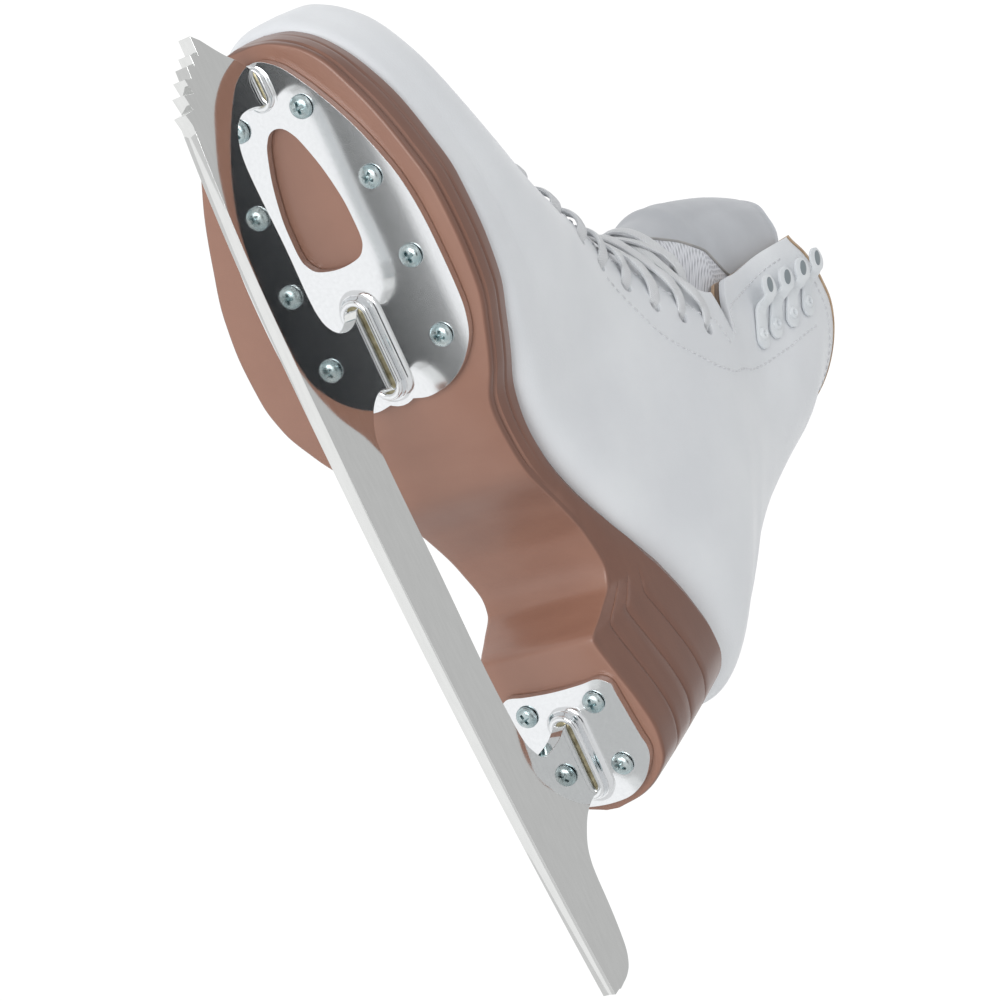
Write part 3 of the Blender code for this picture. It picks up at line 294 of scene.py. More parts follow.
class Look:
    """A Principled material that is built up from small procedural layers in the object's own space."""

    def __init__(self, name, srgb, roughness, metallic=0.0):
        self.material = bpy.data.materials.new(name)
        self.material.use_nodes = True
        self.tree = self.material.node_tree
        self.shader = self.tree.nodes["Principled BSDF"]
        self.place = self.node("TexCoord").outputs["Object"]
        self.set("Base Color", (*linear(srgb), 1.0))
        self.set("Roughness", roughness)
        self.set("Metallic", metallic)

    def set(self, socket, value):
        """Give one of the shader's sockets a value, or link it."""
        feed(self.tree, value, self.shader.inputs[socket])

    def node(self, kind, *inputs, **settings):
        return add_node(self.tree, kind, *inputs, **settings)

    def noise(self, scale, detail=3.0, stretch=(1, 1, 1)):
        where = self.node("Mapping", ("Scale", stretch), ("Vector", self.place)).outputs[0]
        return self.node("TexNoise", ("Scale", scale), ("Detail", detail), ("Vector", where)).outputs["Fac"]

    def cells(self, scale):
        return self.node("TexVoronoi", ("Scale", scale), ("Vector", self.place)).outputs["Distance"]

    def attribute(self, name):
        return self.node("Attribute", attribute_name=name).outputs

    def split(self, vector):
        """The X, Y and Z of a vector."""
        return self.node("SeparateXYZ", (0, vector)).outputs

    def math(self, operation, *values):
        return self.node("Math", *enumerate(values), operation=operation).outputs[0]

    def wave(self, value, pitch):
        """Even ribs along a value."""
        return self.math('ABSOLUTE', self.math('SINE', self.math('MULTIPLY', value, pitch)))

    def spread(self, value, low, high, start=0.3, end=0.7):
        """A value mapped from its usual range to another."""
        return self.node("MapRange", ("Value", value), ("From Min", start), ("From Max", end),
                         ("To Min", low), ("To Max", high)).outputs[0]

    def blend(self, share, first, second):
        """A colour between two, either of which may be a socket or an sRGB colour."""
        first, second = (colour if isinstance(colour, bpy.types.NodeSocket) else (*linear(colour), 1.0)
                         for colour in (first, second))
        return self.node("Mix", ("Factor", share), (6, first), (7, second), data_type='RGBA').outputs[2]

    def mottled(self, value, first, second):
        """A colour that varies between two with a noise value."""
        return self.blend(self.spread(value, 0.0, 1.0), first, second)

    def tint(self, value, first, second):
        self.set("Base Color", self.mottled(value, first, second))

    def vary(self, value, low, high):
        """Roughness that varies between two with a noise value."""
        self.set("Roughness", self.spread(value, low, high))

    def bump(self, value, depth, strength=1.0, after=None):
        """Relief of a depth in metres; several can follow one another."""
        inputs = [("Strength", strength), ("Distance", depth), ("Height", value)]
        relief = self.node("Bump", *inputs, *([("Normal", after)] if after else [])).outputs[0]
        self.set("Normal", relief)
        return relief


def leather_look(name, dark, light, roughness, grain=0.00006):
    look = Look(name, light, roughness)
    look.tint(look.noise(26.0, 4), dark, light)
    look.vary(look.noise(60.0, 3), roughness - 0.05, roughness + 0.07)
    fine = look.bump(look.noise(900.0, 2), grain, 0.5)
    look.bump(look.cells(1500.0), grain, 0.35, fine)
    look.set("Coat Weight", 0.12)
    look.set("Coat Roughness", 0.32)
    return look.material


def cloth_look(name, dark, light, roughness=0.9):
    """Brushed lining cloth or suede, with fine fibres."""
    look = Look(name, light, roughness)
    look.tint(look.noise(220.0, 5), dark, light)
    look.bump(look.noise(2200.0, 3), 0.00012, 0.8)
    look.set("Sheen Weight", 0.25)
    look.set("Sheen Roughness", 0.5)
    return look.material


def board_look():
    """Pressed fibre board, as in insole boards and counters."""
    look = Look("fibre_board", (176, 146, 110), 0.85)
    look.tint(look.noise(400.0, 6), (160, 128, 94), (188, 160, 124))
    look.bump(look.noise(1500.0, 4), 0.00015, 0.7)
    return look.material


def foam_look():
    look = Look("foam", (206, 202, 190), 0.92)
    look.tint(look.noise(300.0, 4), (194, 190, 176), (214, 210, 200))
    look.bump(look.cells(900.0), 0.0002, 0.6)
    return look.material


def sole_look():
    """Brown finished leather sole and stacked heel: a paler tread and darker edges all round, painted light
    and shade chosen by which way each face points.
    """
    look = Look("brown_sole", (128, 88, 70), 0.42)
    layers = look.math('MULTIPLY', look.noise(55.0, 5, (1.0, 1.0, 5.0)), 0.6)
    mixed = look.math('ADD', layers, look.math('MULTIPLY', look.noise(18.0, 3), 0.4))
    tread = look.mottled(mixed, (143, 102, 85), (152, 111, 93))
    # painted shade: the darker colour for faces that point sideways, forward at the toe or back at the heel
    edge = look.mottled(mixed, (110, 74, 60), (118, 81, 66))
    face, where = look.split(look.node("NewGeometry").outputs["Normal"]), look.split(look.place)
    toe = look.math('MULTIPLY', face["X"], look.math('GREATER_THAN', where["X"], 0.0))
    heel = look.math('MULTIPLY', face["X"], -1.0)
    side = look.math('MAXIMUM', look.math('ABSOLUTE', face["Y"]), look.math('MAXIMUM', toe, heel))
    # painted light and shade: the more a face points sideways the darker it is; faces that point down keep
    # the paler tread colour
    look.set("Base Color", look.blend(look.spread(side, 1.0, 0.0, 0.35, 0.75), edge, tread))
    look.vary(look.noise(90.0, 4), 0.38, 0.46)
    look.bump(look.noise(700.0, 4, (1, 1, 3)), 0.00006, 0.5)
    look.set("Coat Weight", 0.35)
    look.set("Coat Roughness", 0.24)
    return look.material


def polished_look(name, srgb, roughness, direction=(1, 1, 1), scale=900.0, spread=0.3):
    """Bright metal with fine polishing marks along one axis."""
    look = Look(name, srgb, roughness, 1.0)
    marks = look.noise(scale, 3, direction)
    look.tint(marks, tuple(c - 5 for c in srgb), srgb)
    look.vary(marks, roughness * (1 - spread), roughness * (1 + spread))
    return look


def ground_look(name, srgb, roughness, direction):
    """Ground steel with visible grinding marks along one axis."""
    look = polished_look(name, srgb, roughness, direction, 2600.0)
    look.bump(look.noise(3200.0, 2, direction), 0.00002, 0.6)
    return look.material


def braze_look():
    """Brass-coloured filler between the stanchions and their collars."""
    look = Look("braze", (166, 158, 130), 0.36, 1.0)
    look.tint(look.noise(420.0, 4), (132, 124, 96), (188, 180, 150))
    look.bump(look.noise(800.0, 3), 0.0002, 0.6)
    return look.material


def zinc_look():
    look = Look("zinc_screw", (190, 204, 206), 0.24, 1.0)
    look.tint(look.noise(300.0, 4), (164, 186, 190), (206, 214, 214))
    look.vary(look.noise(900.0, 3), 0.18, 0.36)
    look.bump(look.noise(1100.0, 3), 0.00003, 0.5)
    return look.material


def coated_look():
    """White powder coat with a slight orange-peel surface, and the grey insets that an attribute marks."""
    look = Look("white_coating", (214, 219, 222), 0.28)
    coat = look.mottled(look.noise(120.0, 3), (212, 217, 221), (224, 228, 231))
    look.set("Base Color", look.blend(look.attribute("eye")["Fac"], coat, (128, 138, 143)))
    look.bump(look.noise(700.0, 2), 0.00004, 0.5)
    look.set("Coat Weight", 0.3)
    look.set("Coat Roughness", 0.12)
    return look.material


def lace_look():
    """Braided cotton: a herringbone in the lace's own length and width, kept as a mesh attribute."""
    look = Look("white_lace", (236, 238, 240), 0.85)
    weave = look.split(look.attribute("weave")["Vector"])
    slant = look.math('ADD', look.math('MULTIPLY', weave["X"], 5.2),
                      look.math('MULTIPLY', look.math('ABSOLUTE', weave["Y"]), 9.0))
    ribs = look.math('ABSOLUTE', look.math('SINE', slant))
    columns = look.wave(weave["Y"], 15.7)
    woven = look.math('MULTIPLY', look.math('POWER', ribs, 0.6), look.math('POWER', columns, 0.4))
    look.set("Base Color", look.blend(woven, (222, 225, 229), (242, 244, 246)))
    look.bump(woven, 0.00025, 0.9)
    look.set("Sheen Weight", 0.2)
    return look.material


def tongue_look():
    """Soft leather front with a woven mesh panel on each side, which a mesh attribute marks off."""
    look = Look("tongue_cover", (205, 208, 213), 0.5)
    panel = look.attribute("panel")["Fac"]
    weave = look.split(look.attribute("weave")["Vector"])
    grid = look.math('MAXIMUM', look.wave(weave["X"], 1.96), look.wave(weave["Y"], 1.96))
    mask = look.spread(panel, 0.0, 1.0, -0.01, 0.01)
    skin = look.mottled(look.noise(40.0, 4), (180, 183, 188), (193, 196, 201))
    woven = look.blend(look.math('POWER', grid, 3.0), (186, 188, 194), (228, 230, 236))
    look.set("Base Color", look.blend(mask, skin, woven))
    look.set("Roughness", look.spread(mask, 0.48, 0.85, 0.0, 1.0))
    soft = look.bump(look.noise(700.0, 2), 0.00006, 0.5)
    look.bump(look.math('MULTIPLY', grid, mask), 0.0003, 0.8, soft)
    return look.material


# ---- making pieces -----------------------------------------------------------------------------------
def add_piece(name, mesh, look, nodes=(), body="skate", smooth_angle=38):
    """Put a finished mesh in the scene as a piece on a body."""
    item = put(name, mesh)
    for part in look if isinstance(look, (list, tuple)) else [look]:
        mesh.materials.append(part)
    if smooth_angle:
        mesh.shade_smooth()
        mesh.set_sharp_from_angle(angle=math.radians(smooth_angle))
    if body:
        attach(item, body)
    if nodes:
        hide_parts(*nodes)
    return item


def mesh_from(name, points, faces, looks=None):
    """A mesh in metres from millimetre points, with its faces pointing out."""
    mesh = bpy.data.meshes.new(name)
    mesh.from_pydata((np.asarray(points, float) * MM).tolist(), [], faces)
    if looks is not None:
        mesh.polygons.foreach_set("material_index", looks)
    with opened(mesh) as sheet:
        bmesh.ops.delete(sheet, geom=[v for v in sheet.verts if not v.link_faces], context='VERTS')
        bmesh.ops.recalc_face_normals(sheet, faces=sheet.faces)
    return mesh


def welded(mesh, distance):
    """A mesh whose points that lie together have become one."""
    with opened(mesh) as sheet:
        bmesh.ops.remove_doubles(sheet, verts=sheet.verts, dist=distance * MM)
        bmesh.ops.dissolve_degenerate(sheet, edges=sheet.edges, dist=0.001 * MM)
        bmesh.ops.recalc_face_normals(sheet, faces=sheet.faces)
    return mesh


def evaluated(item):
    """An object's mesh with its modifiers applied; the object itself is removed."""
    bpy.context.view_layer.update()
    mesh = bpy.data.meshes.new_from_object(item.evaluated_get(bpy.context.evaluated_depsgraph_get()))
    mesh.materials.clear()
    bpy.data.objects.remove(item)
    return mesh


def worked(mesh, cuts=(), bevel=0.0, segments=2, angle=50, crisp=False):
    """A mesh after boolean cuts by other meshes and a bevel along its sharp edges, in millimetres."""
    mesh.shade_smooth()
    item = put("worked", mesh)
    tools = [put("tool", cut) for cut in cuts]
    for tool in tools:
        step = item.modifiers.new("cut", 'BOOLEAN')
        step.operation, step.solver, step.object = 'DIFFERENCE', 'EXACT', tool
    if bevel:
        step = item.modifiers.new("bevel", 'BEVEL')
        step.width, step.segments = bevel * MM, segments
        step.limit_method, step.angle_limit = 'ANGLE', math.radians(angle)
        step.miter_outer = 'MITER_ARC'
    if crisp:
        step = item.modifiers.new("flat faces", 'WEIGHTED_NORMAL')
        step.mode, step.weight = 'FACE_AREA', 100
    made = evaluated(item)
    for tool in tools:
        bpy.data.objects.remove(tool)
    return made


def bands(count, size, start=0, closed=True):
    """Faces between neighbouring rings of equally many points, numbered ring by ring."""
    faces = []
    for first in range(start, start + (count - 1) * size, size):
        for k in range(size if closed else size - 1):
            n = (k + 1) % size
            faces.append([first + k, first + n, first + size + n, first + size + k])
    return faces


def loft(rings, caps=True):
    """Points and faces that join rings of equally many points."""
    rings = np.asarray(rings, float)
    count, size = rings.shape[:2]
    faces = bands(count, size)
    if caps:
        faces.append(list(range(size))[::-1])
        faces.append([v + size * (count - 1) for v in range(size)])
    return rings.reshape(-1, 3), faces


def join(points, faces, more_points, more_faces):
    """Add a shape to the lists of points and faces that hold the shapes before it."""
    faces += [[v + len(points) for v in face] for face in more_faces]
    points += list(more_points)


def circle(x, y, radius, steps=28):
    return [(x + radius * math.cos(2 * PI * k / steps), y + radius * math.sin(2 * PI * k / steps))
            for k in range(steps)]


def spun(profile, steps):
    """Rings of a (radius, height) profile turned about Z."""
    return [[(x, y, z) for x, y in circle(0, 0, radius, steps)] for radius, z in profile]


def squarish(turns, power):
    """Cosines and sines of angles, filled out towards a rectangle."""
    return [np.sign(wave) * np.abs(wave)**power for wave in (np.cos(turns), np.sin(turns))]


def through(points, steps, closed=False):
    """A smooth curve through points, by Catmull-Rom spans."""
    spots = [np.asarray(p, float) for p in points]
    if closed:
        spots = [spots[-1]] + spots + spots[:2]
    else:
        spots = [2 * spots[0] - spots[1]] + spots + [2 * spots[-1] - spots[-2]]
    path = []
    for a, b, c, d in zip(spots, spots[1:], spots[2:], spots[3:]):
        for t in np.arange(steps) / steps:
            path.append(0.5 * (2 * b + (c - a) * t + (2 * a - 5 * b + 4 * c - d) * t**2
                               + (3 * b - a - 3 * c + d) * t**3))
    return np.array(path if closed else path + [spots[-2]])


def finer(values, steps):
    """Values with each interval split into equal steps."""
    values = np.asarray(values, float)
    return np.interp(np.arange((len(values) - 1) * steps + 1) / steps, np.arange(len(values)), values)


def level_slopes(steps):
    """Slopes at the points between steps that keep a cubic from overshooting."""
    before, after = steps[:-1], steps[1:]
    total = np.where(before + after == 0, 1.0, before + after)
    return np.where(before * after > 0, 2 * before * after / total, 0.0)


def cubic(t, first, first_slope, last, last_slope):
    """A cubic between two values with their slopes."""
    return ((2 * t**3 - 3 * t**2 + 1) * first + (t**3 - 2 * t**2 + t) * first_slope
            + (3 * t**2 - 2 * t**3) * last + (t**3 - t**2) * last_slope)


# ---- the master surface of the boot ------------------------------------------------------------------
def smooth_rows(table, place_along):
    """Monotone cubic through the rows of a table, read at any fractional row number."""
    steps = np.diff(table, axis=0)
    slopes = np.concatenate([steps[:1], level_slopes(steps), steps[-1:]])
    along = np.clip(np.asarray(place_along, float), 0, len(table) - 1)
    row = np.clip(np.floor(along).astype(int), 0, len(table) - 2)
    return cubic((along - row)[..., None], table[row], slopes[row], table[row + 1], slopes[row + 1])


def boot_surface(row, angle):
    """Points on the outside of the boot; the angle is in radians from the ridge, positive inwards (+Y)."""
    rx, rz, ry, bx, bz, by, inner, outer, widest, upper, lower = np.moveaxis(smooth_rows(BOOT, row), -1, 0)
    cos, sin = np.cos(angle), np.sin(angle)
    power = np.where(cos >= 0, upper, lower)
    reach = (np.abs(cos)**power + np.abs(sin)**power)**(-1 / power)
    along, across = reach * np.abs(cos), reach * sin
    mx, mz = rx + widest * (bx - rx), rz + widest * (bz - rz)
    my, half = (inner + outer) / 2, (inner - outer) / 2
    end_x, end_z, end_y = np.where(cos >= 0, rx, bx), np.where(cos >= 0, rz, bz), np.where(cos >= 0, ry, by)
    return np.stack([mx + along * (end_x - mx), my + along * (end_y - my) + across * half,
                     mz + along * (end_z - mz)], axis=-1)


def boot_normal(row, angle):
    """Outward unit normals of the master surface."""
    row = np.maximum(np.asarray(row, float), 0.05)
    along = boot_surface(row + 0.03, angle) - boot_surface(row - 0.03, angle)
    around = boot_surface(row, angle + 0.01) - boot_surface(row, angle - 0.01)
    normal = np.cross(around, along)
    return normal / np.maximum(np.linalg.norm(normal, axis=-1, keepdims=True), 1e-9)


def boot_point(row, degrees, depth=0.0):
    """Points at a depth below the leather's outside; the side is the sign of the degrees."""
    row, angle = np.broadcast_arrays(np.asarray(row, float), np.radians(degrees))
    tip = (row < 0.02)[..., None]
    normal = np.where(tip, (1.0, 0.0, 0.0), boot_normal(row, angle))
    return boot_surface(row, angle) - normal * np.asarray(depth, float)[..., None]


def read(pairs, value):
    """Monotone smooth reading of a list of (place, value) pairs."""
    x, y = np.array(pairs, float).T
    step = np.diff(x)
    slopes = np.concatenate([[0.0], level_slopes(np.diff(y) / step), [0.0]])
    value = np.clip(np.asarray(value, float), x[0], x[-1])
    k = np.clip(np.searchsorted(x, value, side='right') - 1, 0, len(x) - 2)
    return cubic((value - x[k]) / step[k], y[k], step[k] * slopes[k], y[k + 1], step[k] * slopes[k + 1])


def row_at_height(degrees, height):
    """Rows whose surface points, at these angles, lie at a height."""
    degrees = np.asarray(degrees, float)
    low, high = np.full(degrees.shape, 8.0), np.full(degrees.shape, 21.0)
    for _ in range(30):
        middle = (low + high) / 2
        below = boot_surface(middle, np.radians(degrees))[..., 2] < height
        low, high = np.where(below, middle, low), np.where(below, high, middle)
    return low


# The grid over the boot: the model's own rows and columns, each cell split into FINE by FINE
FINE = 5
ROWS_BELOW = (0.0, 0.35, 0.8, 1.4, 2.1, 3.0, 4.0, 5.0, 5.5, 5.9, 6.4, 7.0, 7.7, 8.4, 9.1, 9.8, 10.6, 11.4)
ROWS_CUFF = 6
THROAT_STEPS = 2
SIDE_SHARES = (0.0, 0.1, 0.22, 0.36, 0.5, 0.64, 0.76, 0.87, 1.0)
SIDE_CELLS = THROAT_STEPS + len(SIDE_SHARES) - 1
THROAT_ROW = 7
SLIT_ROW = len(ROWS_BELOW)
MARGIN_ROW = 6
CORNER_ROWS, CORNER_REACH = 0.5, 0.45
RIM_STEPS = 8


def side_degrees(row):
    """Degrees of the fine columns across one side of the boot at a row."""
    edge, line = read(THROAT_EDGE, row), read(FACING_LINE, row)
    front = edge + (line - edge) * np.arange(THROAT_STEPS * FINE) / (THROAT_STEPS * FINE)
    return np.concatenate([front, line + (180 - line) * finer(SIDE_SHARES, FINE)])


def side_grid(rise):
    """Rows and degrees of one side, from the throat edge down to the base line."""
    reach = np.minimum(np.arange(SIDE_CELLS * FINE + 1) / (THROAT_STEPS * FINE), 1.0)
    rows = [np.full(len(reach), row) for row in finer(ROWS_BELOW, FINE)]
    degrees = [side_degrees(row[0]) for row in rows]
    below = SLIT_BELOW + (SLIT_END - SLIT_BELOW) * reach
    above = SLIT_ABOVE + (SLIT_END + SLIT_TIP - SLIT_ABOVE) * reach
    above = above + CORNER_ROWS * np.clip(1 - reach / CORNER_REACH, 0, 1)**2
    start = rows[-1]
    for first, last, low, high in ((start, below, start[0], SLIT_BELOW),
                                   (below, above, SLIT_BELOW, SLIT_ABOVE)):
        for step in range(1, FINE + 1):
            rows.append(first + (last - first) * step / FINE)
            degrees.append(side_degrees(low + (high - low) * step / FINE))
    for share in np.arange(1, ROWS_CUFF * FINE + 1) / (ROWS_CUFF * FINE):
        across = side_degrees(CUFF_ROW + CUFF_ROW_SPAN * share)
        rows.append(above + (row_at_height(across, read(RIM_HEIGHT, across)) - above) * share)
        degrees.append(across)
    for step in range(1, RIM_STEPS + 1 if rise else 1):
        rows.append(row_at_height(across, read(RIM_HEIGHT, across) + rise * step / RIM_STEPS))
        degrees.append(across)
    return np.array(rows), np.array(degrees)


def boot_layer(name, depths, keep, rise=0.0, offset=None):
    """A closed layer over the cells of the boot's grid that keep(row, cell from the throat, side) names."""
    rows, degrees = side_grid(rise)
    rows, degrees = np.hstack([rows[:, ::-1], rows]), np.hstack([-degrees[:, ::-1], degrees])
    outside, inside = (boot_point(rows, degrees, depth) for depth in depths)
    if offset is not None:
        outside = outside + boot_normal(rows, np.radians(degrees)) * offset(rows, degrees)[..., None]
    ids, kept = {}, []
    number = np.zeros(rows.shape, int)
    for cell in np.ndindex(rows.shape):
        key = tuple(np.round(outside[cell], 3))
        if key not in ids:
            ids[key] = len(kept)
            kept.append(cell)
        number[cell] = ids[key]
    middle = SIDE_CELLS * FINE
    cells = []
    for i, j in np.ndindex(rows.shape[0] - 1, rows.shape[1] - 1):
        side = 1 if j > middle else -1
        cell = (j - middle - 1 if j > middle else middle - 1 - j) // FINE
        if j != middle and keep(i // FINE, cell, side):
            ring = [number[i, j], number[i, j + 1], number[i + 1, j + 1], number[i + 1, j]]
            ring = [v for k, v in enumerate(ring) if v != ring[k - 1]]
            if len(ring) > 2:
                cells.append(ring)
    used = {(ring[k - 1], vertex) for ring in cells for k, vertex in enumerate(ring)}
    rims = [edge for edge in used if (edge[1], edge[0]) not in used]
    count = len(kept)
    faces = cells + [[v + count for v in reversed(ring)] for ring in cells]
    faces += [[b, a, a + count, b + count] for a, b in rims]
    return mesh_from(name, [outside[cell] for cell in kept] + [inside[cell] for cell in kept], faces)


def in_leather(i, cell, side):
    """All cells but the slit below the cuff and the gap between the lasted margins."""
    in_slit = i == SLIT_ROW and cell < THROAT_STEPS
    between_margins = cell >= SIDE_CELLS - 2 and MARGIN_ROW <= i < SLIT_ROW - 3
    return not in_slit and not between_margins


def in_lining(i, cell, side):
    """All cells but the facings at the throat and the board under the foot."""
    behind_facing = THROAT_ROW - 2 <= i <= SLIT_ROW and cell < THROAT_STEPS + 1
    over_board = cell >= SIDE_CELLS - 2 and 3 <= i < SLIT_ROW
    return not behind_facing and not over_board


def surface_frame(row, degrees):
    """A matrix whose Z is the outward normal at a place on the boot, and its origin there, in metres."""
    centre = Vector(boot_point(row, degrees)) * MM
    return Matrix.Translation(centre) @ turned(boot_normal(row, math.radians(degrees)))


def hole_tool(with_rivets):
    """Cylinders at every lace hole, and at every hook rivet, as one cutting mesh."""
    spots = [(row, side * d, EYELET_RADIUS) for row, d in EYELETS for side in (1, -1)]
    if with_rivets:
        spots += [(base[0], side * base[1], RIVET_RADIUS + 0.1) for base, _ in HOOKS for side in (1, -1)]
    mesh = bpy.data.meshes.new("holes")
    with opened(mesh) as sheet:
        for row, degrees, radius in spots:
            bmesh.ops.create_cone(sheet, cap_ends=True, segments=28, radius1=radius * MM, radius2=radius * MM,
                                  depth=14 * MM, matrix=surface_frame(row, degrees))
    return mesh


def make_boot_layers(looks):
    """The leather with its slit and holes, the lining and the layers between them, and the footbed."""
    def rolled(rows, degrees):
        """The lining's rolled edge, which stands out over the top of the leather."""
        height = boot_surface(rows, np.radians(degrees))[..., 2] - read(RIM_HEIGHT, np.abs(degrees))
        share = np.clip(height / LINING_RISE, 0, 1)
        return LINING_ROLL * np.clip(share / 0.12, 0, 1) * np.sqrt(1 - (0.85 * share)**2)

    def layer(name, mesh, look, slot, node, cuts=(), bevel=0.25, segments=2):
        return add_piece(name, worked(mesh, cuts, bevel, segments), looks[look], (node,))

    layer("leather_upper", boot_layer("upper", LEATHER, in_leather), "leather", "leather", "upper",
          [hole_tool(True)], 0.55)
    layer("cloth_lining", boot_layer("lining", LINING, in_lining, LINING_RISE, rolled), "lining",
          "tan_lining", "lining", (), 0.4)
    for sign, label in ((1, "inner"), (-1, "outer")):
        # the facings wear the dark brown look that paints the shade at the cuff's front and the throat
        facing = boot_layer("facing", STIFFENER, lambda i, cell, side: side == sign
                            and THROAT_ROW + 1 < i < SLIT_ROW and cell < 3)
        layer("facing_" + label, facing, "edge", "leather", "eyelet_facing_" + label, [hole_tool(False)])
        cuff = boot_layer("cuff", STIFFENER, lambda i, cell, side: side == sign and i > SLIT_ROW and cell < 4)
        layer("cuff_facing_" + label, cuff, "edge", "leather", "hook_facing_" + label, [hole_tool(True)])
    padding = boot_layer("padding", STIFFENER, lambda i, cell, side: i > SLIT_ROW + 3 and cell >= 5)
    layer("collar_pad", padding, "foam", "foam", "collar_padding", (), 0.3)
    footbed = boot_layer("footbed", FOOTBED, lambda i, cell, side: 6 <= i < SLIT_ROW - 1
                         and cell >= SIDE_CELLS - 2)
    layer("cushion_insole", footbed, "lining", "foam", "footbed", (), 0.6, 3)


# ---- stitching ---------------------------------------------------------------------------------------
def along_path(points, spacing):
    """Points spaced evenly along a path."""
    points = np.asarray(points, float)
    reach = reach_along(points)
    count = max(int(round(reach[-1] / spacing)), 1)
    return resample(np.linspace(0, reach[-1], count + 1), reach, points)


STITCH_PITCH = 2.9
STITCH_SHARE = 0.78
THREAD_RADIUS = 0.3
# Distances of the seams from the throat's edge, in degrees round the boot
THROAT_SEAM_INSET, CUFF_SEAM_INSET = 3.2 * 180 / (PI * 26), 5.6
RIM_SEAM_DROP = 4.0
# One stitch: share of its length, thickness, and height over the leather
DASH = ((-0.5, 0.35, -0.35), (-0.4, 0.85, -0.05), (-0.15, 1.0, 0.12), (0.15, 1.0, 0.12),
        (0.4, 0.85, -0.05), (0.5, 0.35, -0.35))


def stitches(places):
    """Thread dashes along a path of (row, degrees) places on the leather, as points and faces."""
    fine = through(places, 24)
    spots = along_path(boot_point(fine[:, 0], fine[:, 1], 0.0), 0.5)
    rows = along_path(np.column_stack([fine, np.zeros(len(fine))]), 0.01)
    surface = boot_point(rows[:, 0], rows[:, 1], 0.0)
    points, faces = [], []
    ends = along_path(spots, STITCH_PITCH)
    for start, end in zip(ends[:-1], ends[1:]):
        middle = (start + end) / 2
        near = rows[np.argmin(np.linalg.norm(surface - middle, axis=1))]
        normal = boot_normal(near[0], math.radians(near[1]))
        join(points, faces, *dash(middle, (end - start) * STITCH_SHARE, normal))
    return points, faces


def dash(middle, run, normal):
    """One stitch: a thread that comes up out of the leather and goes down again."""
    side = np.cross(normal, unit(run))
    rings = []
    for share, thick, lift in DASH:
        centre = middle + run * share + normal * lift
        rings.append([centre + (side * math.cos(turn) + normal * math.sin(turn)) * thick * THREAD_RADIUS
                      for turn in np.arange(6) * PI / 3])
    return loft(rings)


def make_stitching(look):
    """The seams that show on the leather: throat edges, slit, cuff fronts, rim and the arc on each side."""
    points, faces = [], []
    for side in (1, -1):
        throat = [(row, read(THROAT_EDGE, row) + THROAT_SEAM_INSET)
                  for row in (5.9, 6.6, 7.4, 8.2, 9.0, 10.0, 11.0, 11.75)]
        slit = [(11.75 + 1.0 * t, 60.5 + 8.0 * t) for t in (0.3, 0.65, 1.0)]
        cuff = [(13.25, 68.0), (13.3, 61.5)] + [(row, read(THROAT_EDGE, row) + CUFF_SEAM_INSET)
                                                for row in (14.2, 15.2, 16.2, 17.2)]
        rim = [(row_at_height(d, read(RIM_HEIGHT, d) - RIM_SEAM_DROP), d)
               for d in (68, 80, 95, 110, 130, 155, 178)]
        for route in (throat + slit, cuff, rim, SIDE_SEAM):
            join(points, faces, *stitches([(row, side * degrees) for row, degrees in route]))
    add_piece("stitching", mesh_from("stitching", points, faces), look, smooth_angle=80)


# ---- tongue ------------------------------------------------------------------------------------------
TONGUE_ACROSS = 48
TONGUE_SPLIT_Z = 189.0
TUCKED = 6.4
PANEL_FOOT = 184.0
PIPING_RADIUS = 0.45
TONGUE_FOOT_THICKNESS, TONGUE_SWELL = 2.6, 2.6
WRINKLE_LEVEL, WRINKLE_SPREAD, WRINKLE_DEPTH = 206, 16, 0.22
CHANNEL_PLACE, CHANNEL_WIDTH, CHANNEL_DEPTH = 0.42, 0.05, 0.5
# Height, front x, and drop of the sides below the middle, along the upper tongue
TONGUE_SECTIONS = ((197, -28.2, 0.0), (207, -27.0, 1.0), (219, -29.2, 2.5), (230, -32.0, 5.0),
                   (240, -34.8, 8.0), (249, -37.8, 12.5), (257, -40.9, 17.5), (264.5, -44.2, 22.5))


def tongue_keys(share):
    """Key curves across the front of the tongue, from under the vamp to its top."""
    keys = []
    end = row_at_height(np.abs(share) * 56, TONGUE_SPLIT_Z - 1.2)
    for start in (5.0, 5.8, 6.6, 7.6, 8.6, 9.4):
        lift = (start - 5.0) / 5.6
        wide = read(THROAT_EDGE, start) + 9
        depth = 9.4 - 7.6 * np.cos(share * PI / 2)**0.8 * min(lift * 3, 1)
        keys.append(boot_point(start + (end - 10.6) * lift**2, share * wide, depth))
    for height, front, drop in TONGUE_SECTIONS:
        wider = 1 + 0.14 * (height - 197) / 67.5
        tucked = boot_point(row_at_height(57.0, height - 0.77 * drop), 57.0, TUCKED)[0]
        half = [(front, 0.0, height)]
        for place, back, out in ((0.2, 0.065, 7.5), (0.42, 0.25, 14.0), (0.62, 0.55, 17.6)):
            half.append((front + (tucked - front) * back, out * wider, height - drop * place**1.3))
        for place, degrees in ((0.82, 57.0), (1.0, 68.0)):
            z = height - drop * (place**1.3 + 0.15 * (place == 1.0))
            spot = boot_point(row_at_height(degrees, z), degrees, TUCKED)
            half.append((spot[0], spot[1], z))
        path = through([(x, -y, z) for x, y, z in half[:0:-1]] + half, 8)
        keys.append(resample((share + 1) / 2 * (len(path) - 1), np.arange(len(path)), path))
    return np.array(keys)


